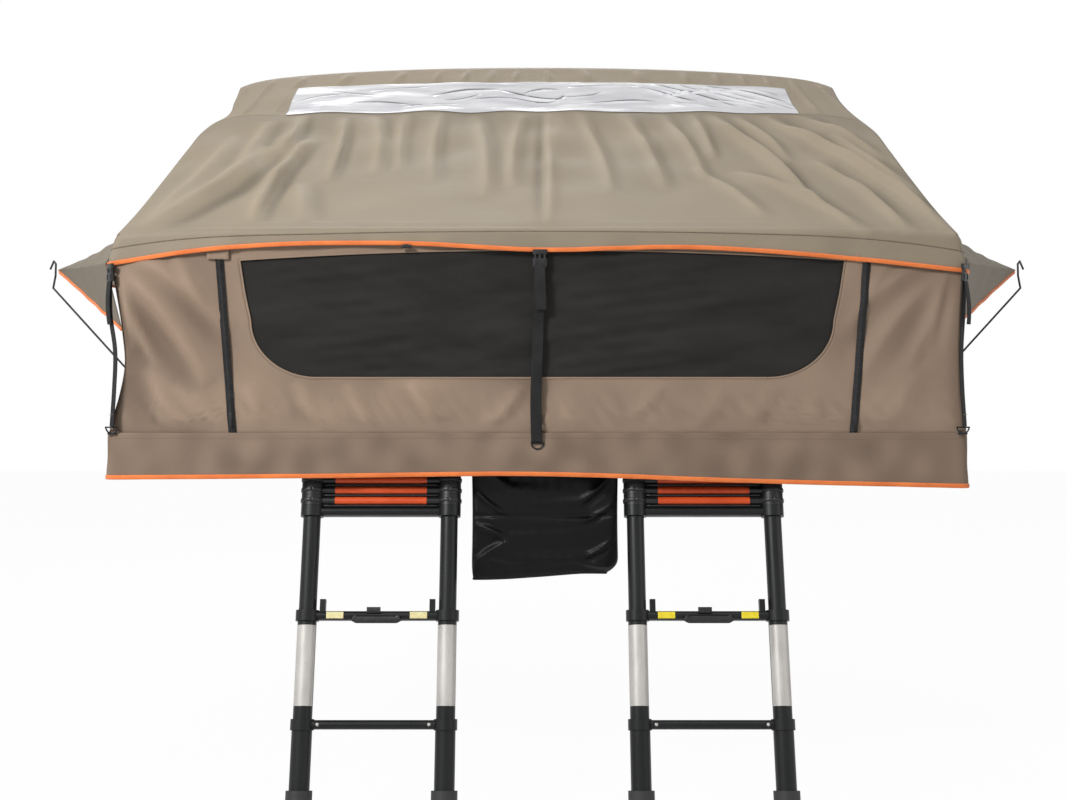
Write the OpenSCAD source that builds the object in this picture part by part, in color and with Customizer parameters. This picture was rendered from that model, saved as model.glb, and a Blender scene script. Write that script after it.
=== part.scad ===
// Fold-out roof top tent on a two-part base, with propped side awnings and two telescopic ladders.
// X is to the right seen from the ladder side, Y runs from the ladder side to the rear, Z is up.
// The origin is the centre of the mounting bolt pattern, on the underside of the mounting channels.

/* [Base] */
// Width of both base halves
base_w = 2180; // [2000:10:2400]
// Length of each base half, from the hinge line to its outer edge
half_l = 1200; // [1100:10:1300]
// Height of the base frame rails
frame_h = 30; // [26:1:40]
// Width of the base frame rails
frame_rail = 45; // [40:1:60]
// Thickness of the floor panels
panel_t = 20; // [12:1:22]
// Gap between the two halves at the hinge line
half_gap = 2; // [1:0.5:5]

/* [Mounting channels] */
// Length of each channel
channel_l = 2150; // [1800:10:2160]
// Width of each channel
channel_w = 50; // [40:1:60]
// Height of each channel
channel_h = 40; // [30:1:50]
// Wall of each channel
channel_wall = 4; // [3:0.5:6]
// Distance between the two channels
channel_spacing = 700; // [500:10:900]
// Distance between the mounting bolt holes along a channel
bolt_spacing = 1200; // [800:10:1500]
// Clearance hole for the mounting bolts
bolt_hole_d = 9; // [6.6:0.1:11]
// Diameter of the screws that hold the channels to the base
screw_d = 6; // [4:0.5:8]
// Diameter of the screw heads
screw_head_d = 12; // [9:0.5:16]
// Radial clearance around a screw
screw_play = 0.1; // [0.05:0.05:0.3]
// Depth of the screws in the floor panel
screw_bite = 12; // [6:1:14]
// Distance between the screws along a channel
screw_pitch = 560; // [300:10:640]

/* [Hinge] */
// Height of the hinge pins above the floor, half the gap between the floors when closed
pivot_rise = 140; // [125:1:160]
// Diameter of the hinge pins
pin_d = 12; // [10:0.5:16]
// Running clearance around a pin, on the radius
pin_clear = 0.05; // [0.02:0.01:0.1]
// Thickness of the hinge plates
plate_t = 6; // [4:0.5:8]
// Distance from the side of the base to the outer hinge plate
plate_inset = 12; // [10:1:20]
// Gap between neighbours on a hinge pin
stack_gap = 2; // [1:0.5:3]
// Diameter of the eye around the pin
plate_eye_d = 60; // [40:1:80]
// Length of the foot of a hinge plate
plate_foot_l = 190; // [120:5:260]
// Distance from the hinge line to the foot
plate_foot_gap = 40; // [30:1:60]
// Width of the foot
plate_foot_w = 28; // [20:1:34]
// Thickness of the foot
plate_foot_t = 4; // [3:0.5:6]
// Diameter of a pin's head and nut
pin_head_d = 20; // [18:1:28]
// Thickness of a pin's head and nut
pin_head_t = 5; // [4:0.5:6]

/* [Bows] */
// Outer diameter of the bow tubes
tube_d = 22; // [18:1:25]
// Wall of the bow tubes
tube_wall = 2; // [1.2:0.1:3]
// Distance from the hinge pins to the top of the main bow
main_reach = 1087; // [950:1:1120]
// Slope of the inner parts of the main bow's top
main_slope_in = 2; // [1:0.5:3]
// Slope of the outer parts of the main bow's top
main_slope_out = 6; // [5:0.5:7]
// Distance from the middle of the main bow to where its slope changes
main_knee = 480; // [400:10:560]
// Distance from the hinge pins to the end of the front and rear bows
end_reach = 1238; // [1190:1:1242]
// Slope of each half of the front and rear bows' tops
end_crown = 1; // [0.5:0.1:1.5]
// Diameter of the collars, and of the sleeve in the middle of the front and rear bows
sleeve_d = 26; // [24:0.5:30]
// Length of the collars at the ends of a bow's corners
joint_l = 16; // [12:1:18]
// Length of the sleeve
sleeve_l = 90; // [60:5:140]
// Angle of the front and rear bows above the floor when open
end_angle = 17.6; // [15:0.1:20]
// Bend radius at the corners of a bow
corner_r = 80; // [60:1:120]
// Diameter of the knuckles at the feet of a bow
knuckle_d = 26; // [24:1:32]
// Width of the knuckles
knuckle_w = 24; // [23:1:28]

/* [Mattress] */
// Thickness of the mattress
mattress_t = 65; // [40:1:66]
// Distance from the side of the base to the mattress
mattress_side = 70; // [60:1:120]
// Distance from the outer end of the base to the mattress
mattress_end = 30; // [15:1:80]
// Radius of the mattress corners
mattress_r = 40; // [10:1:60]

/* [Canopy] */
// Thickness of the roof cloth with its lining
roof_t = 4; // [2:0.5:6]
// Thickness of the walls
wall_t = 3; // [2:0.5:4]
// Gap between cloth and the tube that it goes over
cloth_gap = 0.3; // [0.2:0.1:1]
// Overhang of the roof past the side of the base at the eave
eave_over = 7; // [4:1:15]
// Overhang of the roof past the main bow at the ridge
ridge_over = 18; // [14:1:25]
// Fall of the ridge from its middle to its ends
ridge_fall = 70; // [66:1:76]
// Fall of the eave from its middle to its ends
eave_fall = 19; // [10:1:20]
// Drop of the roof cloth where it rolls over the eave bow
eave_roll = 19; // [16:1:22]
// Depth of the valance in its middle
valance_mid = 31; // [20:1:45]
// Depth of the valance at its ends
valance_end = 51; // [35:1:60]
// Stand-off of the valance from the wall
valance_off = 4.5; // [3.5:0.5:10]
// Height of the upright walls above the floor
wall_h = 485; // [450:1:488]
// How far the front and rear walls draw in at half height
wall_draw = 40; // [10:1:60]
// Width of each skylight
sky_w = 1640; // [1200:10:1800]
// Distance from the ridge line to the lower edge of a skylight
sky_low = 350; // [300:5:420]
// Distance from the ridge line to the upper edge of a skylight
sky_high = 139; // [80:1:200]

/* [Windows] */
// Width of the front window at its top
window_w = 1546; // [1200:2:1600]
// Sideways shift of the front window
window_shift = 14; // [-20:1:20]
// Height of the front window's lower edge above the floor
window_low = 150; // [110:5:190]
// Height of the front window's upper edge above the floor
window_high = 445; // [420:5:455]
// Radius of the front window's lower corners
window_r = 190; // [120:5:220]
// Inset of the lower corners from the top width
window_slant = 15; // [0:5:60]
// Radius of the front window's upper corners and of the side windows
window_top_r = 20; // [10:1:40]
// Width of each side window
side_window_w = 900; // [600:10:1200]
// Height of each side window
side_window_h = 278; // [150:2:290]
// Lap of a window behind its wall
window_lap = 15; // [10:1:25]
// Thickness of the window mesh
mesh_t = 2; // [1:0.5:3]
// Distance between the two zips at their top
zip_top = 1642; // [1600:2:1700]
// Distance between the two zips at their foot
zip_foot = 1572; // [1500:2:1640]
// Width of a zip
zip_w = 20; // [12:1:26]

/* [Skirt] */
// Depth of the skirt below the floor
skirt_h = 114; // [80:1:140]
// Thickness of the skirt
skirt_t = 3; // [2:0.5:4]
// Depth of the skirt's folds at its hem
skirt_fold = 6; // [2:0.5:8]
// Distance between the folds
skirt_pitch = 170; // [120:5:240]
// Corner radius of the skirt
skirt_r = 25; // [15:1:40]

/* [Straps] */
// Width of the straps
strap_w = 28; // [20:1:32]
// Thickness of the straps
strap_t = 2; // [1.5:0.5:3]
// Sideways place of the corner straps, from the side of the base
strap_inset = 14; // [14:1:40]
// Height of a buckle
buckle_h = 42; // [34:1:55]
// Width of a buckle
buckle_w = 38; // [34:1:46]
// Thickness of a buckle
buckle_t = 9; // [7:0.5:12]
// Wire of the D-rings
ring_wire = 4; // [3:0.5:5]
// Radius of the D-rings, to the middle of the wire
ring_r = 15; // [15:0.5:20]
// Height of the corner rings' bars above the floor
ring_corner = 20; // [14:1:40]
// Depth of the middle ring's bar below the floor
ring_middle = 20; // [14:1:30]

/* [Awnings] */
// Reach of an awning past the side of the base
awning_reach = 356; // [250:2:420]
// Height of the awning's tips above the floor
awning_tip = 482; // [440:2:500]
// Distance from the hinge line to the front tips
awning_half = 580; // [450:10:600]
// How much further the rear tips lie, so that the front rods clear the rear ones when folded
awning_stagger = 60; // [55:5:100]
// Height of the awning's root on the wall, above the floor
awning_root = 480; // [470:1:484]
// Height of the awning's lowest corner on the wall, above the floor
awning_low = 278; // [240:2:340]
// Distance from the end of the base to the lowest corner
awning_low_in = 122; // [90:2:200]
// Thickness of the awning cloth
awning_t = 3; // [2:0.5:4]
// Diameter of an awning rod
rod_d = 6; // [5:0.5:8]
// Radial play of a rod in its socket
rod_play = 0.1; // [0.05:0.05:0.3]
// Height of an awning rod's foot above the floor
rod_rise = 30; // [26:1:36]
// Height of an awning tip above the bend of its rod
rod_crank = 55; // [45:1:65]
// Outer diameter of a rod socket
socket_d = 16; // [13:1:22]
// Depth of a rod in its socket
socket_l = 38; // [25:1:50]

/* [Ladders] */
// Place of the left ladder
ladder_left_x = -400; // [-500:5:-395]
// Place of the right ladder
ladder_right_x = 425; // [420:5:520]
// Distance between the rails
rail_gap = 350; // [330:2:380]
// Distance from the front edge of the base to the ladder pins
ladder_in = 65; // [60:1:75]
// Drop of the ladder pins below the base
ladder_drop = 35; // [34:1:40]
// Lean of the ladders
ladder_lean = 16; // [10:1:20]
// Diameter of the lowest section's tubes
ladder_tube = 50; // [48:0.5:52]
// Step in diameter from one section to the next
ladder_step = 3; // [2.8:0.1:3.2]
// Wall of the ladder tubes
ladder_wall = 1.2; // [1:0.1:1.3]
// Distance between pushed-in rungs
stack_pitch = 27; // [27:0.5:30]
// Distance between pulled-out rungs
rung_pitch = 264; // [240:2:280]
// Depth to which a pulled-out tube stays in the next
tube_grip = 20; // [15:1:22]
// Distance from the ladder pins to the top rung
first_rung = 29; // [29:0.5:34]
// Diameter of the collars
collar_d = 58; // [56:0.5:60]
// Height of the collars
collar_h = 26.5; // [20:0.5:26.5]
// Depth of a rung, front to back
rung_d = 32; // [26:1:40]
// Height of a rung
rung_h = 22; // [16:1:24]
// Height of the stops that keep a finger's width above the second rung
stop_h = 30; // [20:1:36]
// Width of a release bar
bar_w = 114; // [80:2:140]
// Height of a release bar
bar_h = 14; // [10:1:16]
// Thickness of a release bar
bar_t = 8; // [6:1:10]
// Running gap behind a release bar
bar_gap = 0.3; // [0.2:0.1:0.5]
// Length of the rubber boots
boot_l = 110; // [80:2:130]
// Diameter of the boots
boot_d = 64; // [58:1:66]
// Thickness of a boot's sole
sole_t = 5; // [4:0.5:8]
// Diameter of the ladder pins
ladder_pin_d = 10; // [8:0.5:12]
// Thickness of the ears of the ladder brackets
ear_t = 5; // [4:0.5:6]
// Diameter of the eyes of the ladder brackets
ear_d = 24; // [20:1:26]
// Gap between an ear and the ladder
ear_gap = 1.5; // [1:0.5:2]
// Thickness of the bracket plates
bracket_t = 5; // [4:0.5:5]

/* [Bag] */
// Left edge of the bag
bag_left = -174; // [-190:2:-120]
// Right edge of the bag
bag_right = 213; // [150:2:214]
// Height of the bag
bag_h = 338; // [250:2:380]
// Distance from the front edge of the base to the bag
bag_in = 35; // [33:1:38]
// Depth of the bag, front to back
bag_d = 45; // [35:1:60]
// Wall of the bag
bag_wall = 2; // [1.5:0.5:3]
// Radius of the bag's lower corners
bag_r = 60; // [30:2:80]

/* [Hidden] */
$fn = 48;

// Key planes and lines
side_x = base_w / 2;
hinge_y = -half_l / 2;
front_y = hinge_y - half_l;
rear_y = hinge_y + half_l;
base_z = channel_h;
floor_z = base_z + frame_h;
pivot_z = floor_z + pivot_rise;

// Stack on each hinge pin, from the outside in
rear_plate_x = side_x - plate_inset - plate_t;
front_plate_x = rear_plate_x - stack_gap - plate_t;
front_leg_x = front_plate_x - stack_gap - knuckle_w / 2;
rear_leg_x = front_leg_x - knuckle_w - stack_gap;
main_leg_x = rear_leg_x - knuckle_w - stack_gap;
pin_end_x = main_leg_x - knuckle_w / 2 - stack_gap;

// Lines of the canopy in its lengthwise section
bow_end_y = hinge_y - end_reach * cos(end_angle);
bow_end_z = pivot_z + end_reach * sin(end_angle);
main_top_z = pivot_z + main_reach;
roof_slope = atan2(main_top_z - bow_end_z, hinge_y - bow_end_y);
tube_off = sleeve_d / 2 + cloth_gap;
eave_y = bow_end_y - tube_off * sin(roof_slope);
eave_z = bow_end_z + tube_off * cos(roof_slope);
ridge_z = main_top_z + tube_off / cos(roof_slope);
eave_x = side_x + eave_over;
ridge_x = main_leg_x + tube_d / 2 + ridge_over;
wall_top_z = floor_z + wall_h;
wall_tilt = atan2(side_x - ridge_x + wall_t, ridge_z - ridge_fall - wall_top_z);

// Grids of the roof: across, and up from the valance to the ridge
sky_low_t = (hinge_y - sky_low - eave_y) / (hinge_y - eave_y);
sky_high_t = (hinge_y - sky_high - eave_y) / (hinge_y - eave_y);
sky_u = sky_w / 2 / (eave_x + (ridge_x - eave_x) * (sky_low_t + sky_high_t) / 2);
edge_cells = 4;
sky_cells = 12;
roof_us = [
  for (i = [0:edge_cells]) -1 + i * (1 - sky_u) / edge_cells,
  for (i = [1:sky_cells]) -sky_u + i * 2 * sky_u / sky_cells,
  for (i = [1:edge_cells]) sky_u + i * (1 - sky_u) / edge_cells
];
roof_ts = [-3, -2, -1, 0, sky_low_t / 2, sky_low_t, sky_high_t, 1];
sky_row = 5;

// Ladders
lead_s = function (k) first_rung + (7 - k) * stack_pitch;
rung_s = function (k) k >= 3 ? lead_s(k) : lead_s(3) + (3 - k) * rung_pitch;
section_d = function (k) ladder_tube - (k - 1) * ladder_step;
tube_l = rung_pitch + tube_grip;
ladder_pin_y = front_y + ladder_in;
ladder_pin_z = base_z - ladder_drop;
foot_s = rung_s(1) + rung_pitch;

cloth = [0.60, 0.55, 0.46];
wall_cloth = [0.55, 0.48, 0.42];
black = [0.10, 0.10, 0.11];
dark_mesh = [0.17, 0.16, 0.15];
metal = [0.72, 0.73, 0.74];
orange = [0.80, 0.31, 0.13];

// Copies a shape to the other end of the tent, about the hinge line
module to_rear() {
  translate([0, hinge_y, 0]) mirror([0, 1, 0]) translate([0, -hinge_y, 0]) children();
}

// Draws a shape on the right, and its mirror image on the left
module both_sides() {
  children();
  mirror([1, 0, 0]) children();
}

// A closed sheet between an inner and an outer grid of points, with the cells that keep() passes
module sheet(inner, outer, keep) {
  nu = len(inner) - 1;
  nv = len(inner[0]) - 1;
  count = (nu + 1) * (nv + 1);
  function p(i, j) = i * (nv + 1) + j;
  function q(i, j) = count + p(i, j);
  function kept(i, j) = i >= 0 && j >= 0 && i < nu && j < nv && keep(i, j);
  function two(a, b, c, d) = [[a, b, c], [a, c, d]];
  quads = [
    for (i = [0:nu - 1], j = [0:nv - 1]) if (kept(i, j)) each [
      two(q(i, j), q(i, j + 1), q(i + 1, j + 1), q(i + 1, j)),
      two(p(i, j), p(i + 1, j), p(i + 1, j + 1), p(i, j + 1)),
      kept(i, j - 1) ? [] : two(p(i, j), q(i, j), q(i + 1, j), p(i + 1, j)),
      kept(i, j + 1) ? [] : two(p(i + 1, j + 1), q(i + 1, j + 1), q(i, j + 1), p(i, j + 1)),
      kept(i - 1, j) ? [] : two(p(i, j + 1), q(i, j + 1), q(i, j), p(i, j)),
      kept(i + 1, j) ? [] : two(p(i + 1, j), q(i + 1, j), q(i + 1, j + 1), p(i + 1, j + 1))
    ]
  ];
  points = concat([for (row = inner) each row], [for (row = outer) each row]);
  polyhedron(points, [for (pair = quads) each pair]);
}

// Base halves

// A frame of flat rails, rounded at its outer corners, with two cross rails below the floor panel
module half_frame() {
  inner_w = base_w - 2 * frame_rail;
  inner_l = half_l - half_gap / 2 - 2 * frame_rail;
  translate([-side_x, front_y, base_z]) {
    linear_extrude(frame_h) difference() {
      hull() {
        for (x = [skirt_r, base_w - skirt_r]) translate([x, skirt_r]) circle(r = skirt_r);
        translate([0, half_l - half_gap / 2 - frame_rail]) square([base_w, frame_rail]);
      }
      translate([frame_rail, frame_rail]) square([inner_w, inner_l]);
    }
    for (y = [-1, 1])
      translate([frame_rail / 2, half_l / 2 + y * channel_spacing / 2 - channel_w / 2, 0])
        cube([base_w - frame_rail, channel_w, frame_h - panel_t]);
  }
}

module half_panel() {
  translate([frame_rail - side_x, front_y + frame_rail, floor_z - panel_t])
    cube([base_w - 2 * frame_rail, half_l - half_gap / 2 - 2 * frame_rail, panel_t]);
}

// Calls its children at each screw that holds a channel to the base
module at_screws() {
  for (x = [-1.5, -0.5, 0.5, 1.5], y = [-1, 1])
    translate([x * screw_pitch, y * channel_spacing / 2, channel_h - channel_wall]) children();
}

module screw_shank(extra) {
  cylinder(d = screw_d + extra, h = channel_wall + frame_h - panel_t + screw_bite);
}

module base_frame_front() {
  color(metal) half_frame();
}

module base_frame_rear() {
  color(metal) difference() {
    to_rear() half_frame();
    at_screws() screw_shank(2 * screw_play);
  }
}

module floor_panel_front() {
  color([0.80, 0.80, 0.78]) half_panel();
}

module floor_panel_rear() {
  color([0.80, 0.80, 0.78]) difference() {
    to_rear() half_panel();
    at_screws() screw_shank(2 * screw_play);
  }
}

// Two box channels across the fixed half, drilled below for the mounting bolts
module mount_channels() {
  color(metal) difference() {
    for (y = [-1, 1]) translate([0, y * channel_spacing / 2, channel_h / 2]) difference() {
      cube([channel_l, channel_w, channel_h], center = true);
      cube([channel_l + 2, channel_w - 2 * channel_wall, channel_h - 2 * channel_wall], center = true);
    }
    for (x = [-1, 1], y = [-1, 1])
      translate([x * bolt_spacing / 2, y * channel_spacing / 2, -1])
        cylinder(d = bolt_hole_d, h = channel_wall + 2);
    at_screws() screw_shank(2 * screw_play);
  }
}

module channel_screws() {
  color(metal) at_screws() {
    screw_shank(0);
    translate([0, 0, -channel_wall]) cylinder(d = screw_head_d, h = channel_wall);
  }
}

// Hinge

// A plate that stands on the frame beside the hinge line and carries the pin
module hinge_plate(x, bore) {
  foot_y = hinge_y - plate_foot_gap - plate_foot_l;
  translate([x, 0, 0]) rotate([90, 0, 90]) linear_extrude(plate_t) difference() {
    union() {
      polygon([
        [foot_y, floor_z], [hinge_y - plate_foot_gap, floor_z],
        [hinge_y + plate_eye_d / 2 * cos(30), pivot_z - plate_eye_d / 2 * sin(30)],
        [hinge_y - plate_eye_d / 2 * sin(30), pivot_z + plate_eye_d / 2 * cos(30)],
        [foot_y, floor_z + 2 * plate_foot_t]
      ]);
      translate([hinge_y, pivot_z]) circle(d = plate_eye_d);
    }
    translate([hinge_y, pivot_z]) circle(d = pin_d + 2 * bore);
  }
  translate([x - plate_foot_w, foot_y, floor_z]) cube([plate_foot_w + plate_t, plate_foot_l, plate_foot_t]);
}

module hinge_plates_front() {
  color(metal) both_sides() hinge_plate(front_plate_x, pin_clear);
}

module hinge_plates_rear() {
  color(metal) both_sides() to_rear() hinge_plate(rear_plate_x, 0);
}

module hinge_pins() {
  head_x = rear_plate_x + plate_t;
  color(metal) both_sides() translate([0, hinge_y, pivot_z]) rotate([0, 90, 0]) {
    translate([0, 0, pin_end_x - pin_head_t]) cylinder(d = pin_d, h = head_x - pin_end_x + pin_head_t);
    translate([0, 0, head_x]) cylinder(d = pin_head_d, h = pin_head_t);
    translate([0, 0, pin_end_x - pin_head_t]) cylinder(d = pin_head_d, h = pin_head_t);
  }
}

// Bows

module tube_ring() {
  difference() {
    circle(d = tube_d, $fn = 48);
    circle(d = tube_d - 2 * tube_wall, $fn = 48);
  }
}

// Legs, knuckles and corners of a bow, upright over the hinge pins; its top is drawn by the children
module bow(leg_x, corner_x, corner_z, crown) {
  leg_z = knuckle_d / 2 - tube_wall;
  // Corners and straights end inside short collars, a little way apart
  part = joint_l / 4;
  turn = part / corner_r * 180 / PI;
  difference() {
    union() {
      both_sides() {
        translate([leg_x, 0, leg_z]) linear_extrude(corner_z - leg_z - part) tube_ring();
        translate([corner_x, 0, corner_z]) {
          rotate([90, 0, 0]) rotate([0, 0, turn])
            rotate_extrude(angle = 90 - crown - 2 * turn) translate([corner_r, 0]) tube_ring();
          translate([corner_r, 0, 0]) cylinder(d = sleeve_d, h = joint_l, center = true);
          rotate([0, crown, 0]) translate([0, 0, corner_r]) rotate([0, 90, 0])
            cylinder(d = sleeve_d, h = joint_l, center = true);
        }
        translate([leg_x - knuckle_w / 2, 0, 0]) rotate([0, 90, 0]) cylinder(d = knuckle_d, h = knuckle_w);
      }
      children();
    }
    translate([-leg_x - knuckle_w, 0, 0]) rotate([0, 90, 0])
      cylinder(d = pin_d + 2 * pin_clear, h = 2 * leg_x + 2 * knuckle_w);
  }
}

// A straight run of tube to the right and down from a point, which ends a little short of both its ends
module run(x, z, slope, length, from) {
  translate([x, 0, z]) rotate([0, 90 + slope, 0]) translate([0, 0, from])
    linear_extrude(length - from - joint_l / 4) tube_ring();
}

module sleeve(x, z, slope) {
  translate([x, 0, z]) rotate([0, 90 + slope, 0]) cylinder(d = sleeve_d, h = sleeve_l, center = true);
}

// A bow whose top is two straight tubes that meet in a sleeve
module peaked_bow(leg_x, reach, slope) {
  corner_x = leg_x - corner_r;
  corner_z = reach - corner_x * tan(slope) - corner_r / cos(slope);
  bow(leg_x, corner_x, corner_z, slope) {
    both_sides() run(0, reach, slope, (corner_x + corner_r * sin(slope)) / cos(slope), sleeve_l / 4);
    sleeve(0, reach, 0);
  }
}

// A bow whose top is four straight tubes, steeper towards its corners
module kneed_bow(leg_x, reach, slope_in, slope_out, knee_x) {
  knee_z = reach - knee_x * tan(slope_in);
  corner_x = leg_x - corner_r;
  corner_z = knee_z - (corner_x - knee_x) * tan(slope_out) - corner_r / cos(slope_out);
  outer = (corner_x + corner_r * sin(slope_out) - knee_x) / cos(slope_out);
  bow(leg_x, corner_x, corner_z, slope_out) {
    both_sides() {
      run(0, reach, slope_in, knee_x / cos(slope_in), sleeve_l / 4);
      run(knee_x, knee_z, slope_out, outer, joint_l / 4);
      sleeve(knee_x, knee_z, (slope_in + slope_out) / 2);
    }
    sleeve(0, reach, 0);
  }
}

module bow_front() {
  color(metal) translate([0, hinge_y, pivot_z]) rotate([90 - end_angle, 0, 0])
    peaked_bow(front_leg_x, end_reach, end_crown);
}

module bow_main() {
  color(metal) translate([0, hinge_y, pivot_z]) kneed_bow(main_leg_x, main_reach, main_slope_in, main_slope_out, main_knee);
}

module bow_rear() {
  color(metal) translate([0, hinge_y, pivot_z]) rotate([end_angle - 90, 0, 0])
    peaked_bow(rear_leg_x, end_reach, end_crown);
}

// Mattress

module half_mattress() {
  width = base_w - 2 * mattress_side;
  length = half_l - mattress_end - half_gap;
  translate([-width / 2, front_y + mattress_end, floor_z]) linear_extrude(mattress_t)
    translate([mattress_r, mattress_r]) offset(r = mattress_r)
      square([width - 2 * mattress_r, length - 2 * mattress_r]);
}

module mattress_front() {
  color([0.35, 0.36, 0.38]) half_mattress();
}

module mattress_rear() {
  color([0.35, 0.36, 0.38]) to_rear() half_mattress();
}

// Roof

// Height, and distance from the hinge line, of the roof's underside: t is 0 at the eave and 1 at the ridge
function roof_z(u, t) =
  t == -3 ? eave_z - eave_roll - eave_fall * u ^ 4 - valance_mid - (valance_end - valance_mid) * u ^ 4
  : t == -2 ? eave_z - eave_roll - eave_fall * u ^ 4
  : t == -1 ? eave_z - eave_roll / 3 - eave_fall * u ^ 4
  : (1 - t) * (eave_z - eave_fall * u ^ 4) + t * (ridge_z - ridge_fall * abs(u) ^ 2.5);
function roof_y(t) =
  t <= -2 ? front_y - valance_off
  : t == -1 ? (eave_y + front_y - valance_off) / 2 - eave_roll / 20
  : eave_y + t * (hinge_y - eave_y);
function roof_x(u, t) = u * (eave_x + (ridge_x - eave_x) * max(t, 0));
// The way from the underside of the roof cloth to its face
function roof_out(t) =
  t <= -2 ? [0, -roof_t, 0]
  : t == -1 ? roof_t * [0, -sin(60), cos(60)]
  : t == 1 ? [0, 0, roof_t / cos(roof_slope)]
  : roof_t * [0, -sin(roof_slope), cos(roof_slope)];
roof_inner = [for (u = roof_us) [for (t = roof_ts) [roof_x(u, t), roof_y(t), roof_z(u, t)]]];
roof_outer = [for (u = roof_us) [for (t = roof_ts) [roof_x(u, t), roof_y(t), roof_z(u, t)] + roof_out(t)]];
in_sky = function (i, j) j == sky_row && i >= edge_cells && i < edge_cells + sky_cells;

module roof_front() {
  color(cloth) sheet(roof_inner, roof_outer, function (i, j) !in_sky(i, j));
}

module roof_rear() {
  color(cloth) to_rear() sheet(roof_inner, roof_outer, function (i, j) !in_sky(i, j));
}

module skylight_front() {
  color([0.85, 0.87, 0.88, 0.5]) sheet(roof_inner, roof_outer, in_sky);
}

module skylight_rear() {
  color([0.85, 0.87, 0.88, 0.5]) to_rear() sheet(roof_inner, roof_outer, in_sky);
}

// Walls and windows

// Outline of the front window, grown all round by some amount
module window_shape(grow) {
  low_x = window_w / 2 - window_slant - window_r;
  top_x = window_w / 2 - window_top_r;
  translate([window_shift, floor_z]) intersection() {
    hull() for (s = [-1, 1]) {
      translate([s * low_x, window_low + window_r]) circle(r = window_r + grow);
      translate([s * top_x, window_high - window_top_r]) circle(r = window_top_r + grow);
    }
    translate([-window_w, 0]) square([2 * window_w, window_high + grow]);
  }
}

// Sheet in the plane of the front wall, at some depth behind the front edge of the base
module front_sheet(depth, thickness) {
  translate([0, front_y + depth + thickness, 0]) rotate([90, 0, 0]) linear_extrude(thickness) children();
}

module end_wall() {
  steps = 8;
  edge = [for (i = [0:steps]) [side_x - wall_draw * sin(180 * i / steps), floor_z + wall_h * i / steps]];
  front_sheet(0, wall_t) difference() {
    polygon(concat(edge, [for (i = [steps:-1:0]) [-edge[i][0], edge[i][1]]]));
    window_shape(0);
  }
}

module wall_front() {
  color(wall_cloth) end_wall();
}

module wall_rear() {
  color(wall_cloth) to_rear() end_wall();
}

module window_front() {
  color(dark_mesh) front_sheet(wall_t, mesh_t) window_shape(window_lap);
}

module window_rear() {
  color(dark_mesh) to_rear() front_sheet(wall_t, mesh_t) window_shape(window_lap);
}

module side_window_shape(grow) {
  translate([hinge_y, floor_z + window_low]) hull()
    for (y = [-1, 1] * (side_window_w / 2 - window_top_r), z = [window_top_r, side_window_h - window_top_r])
      translate([y, z]) circle(r = window_top_r + grow);
}

// An upright lower part with a window, and above a seam a gable that leans in to the ridge
module side_wall() {
  gable_h = (ridge_z - ridge_fall - wall_top_z - 3 * wall_t) / cos(wall_tilt);
  side_y = front_y + wall_t;
  translate([side_x - wall_t, 0, 0]) rotate([90, 0, 90]) linear_extrude(wall_t) difference() {
    translate([side_y, floor_z]) square([2 * (hinge_y - side_y), wall_h]);
    side_window_shape(0);
  }
  translate([side_x, 0, wall_top_z + 2 * cloth_gap]) rotate([0, -wall_tilt, 0]) translate([-wall_t, 0, 0])
    rotate([90, 0, 90]) linear_extrude(wall_t)
      polygon([[side_y, 0], [hinge_y, gable_h], [2 * hinge_y - side_y, 0]]);
}

module side_wall_left() {
  color(wall_cloth) mirror([1, 0, 0]) side_wall();
}

module side_wall_right() {
  color(wall_cloth) side_wall();
}

module side_window() {
  translate([side_x - wall_t - mesh_t, 0, 0]) rotate([90, 0, 90]) linear_extrude(mesh_t)
    side_window_shape(window_lap);
}

module side_window_left() {
  color(dark_mesh) mirror([1, 0, 0]) side_window();
}

module side_window_right() {
  color(dark_mesh) side_window();
}

// Zips, straps, buckles and rings on the front

module door_zips() {
  color(black) front_sheet(-strap_t, strap_t) for (s = [-1, 1])
    translate([window_shift, 0]) polygon([
      [s * zip_foot / 2 - zip_w / 2, floor_z], [s * zip_foot / 2 + zip_w / 2, floor_z],
      [s * zip_top / 2 + zip_w / 2, wall_top_z - valance_mid],
      [s * zip_top / 2 - zip_w / 2, wall_top_z - valance_mid]
    ]);
}

strap_xs = [-side_x + strap_inset, 0, side_x - strap_inset];
// Each strap comes out under the valance, which is deeper at the corners
strap_top = function (x) roof_z(x / eave_x, -3) - 4;
buckle_z = function (x) strap_top(x) - buckle_h;
strap_depth = -wall_t - strap_t - valance_off - roof_t;
ring_z = function (x) x == 0 ? floor_z - ring_middle : floor_z + ring_corner;

module straps() {
  color(black) for (x = strap_xs) front_sheet(strap_depth, strap_t)
    translate([x - strap_w / 2, ring_z(x)]) square([strap_w, buckle_z(x) - ring_z(x)]);
}

// Side-release buckles: a body with a waist where the two arms are pressed
module buckles() {
  half = buckle_w / 2;
  color(black) for (x = strap_xs) front_sheet(strap_depth - (buckle_t - strap_t) / 2, buckle_t)
    translate([x, buckle_z(x)]) polygon([
      [-half, 0], [half, 0], [half, buckle_h * 0.3], [half * 0.8, buckle_h * 0.42],
      [half * 0.8, buckle_h * 0.6], [half, buckle_h * 0.7], [half, buckle_h], [-half, buckle_h],
      [-half, buckle_h * 0.7], [-half * 0.8, buckle_h * 0.6], [-half * 0.8, buckle_h * 0.42],
      [-half, buckle_h * 0.3]
    ]);
}

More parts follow.
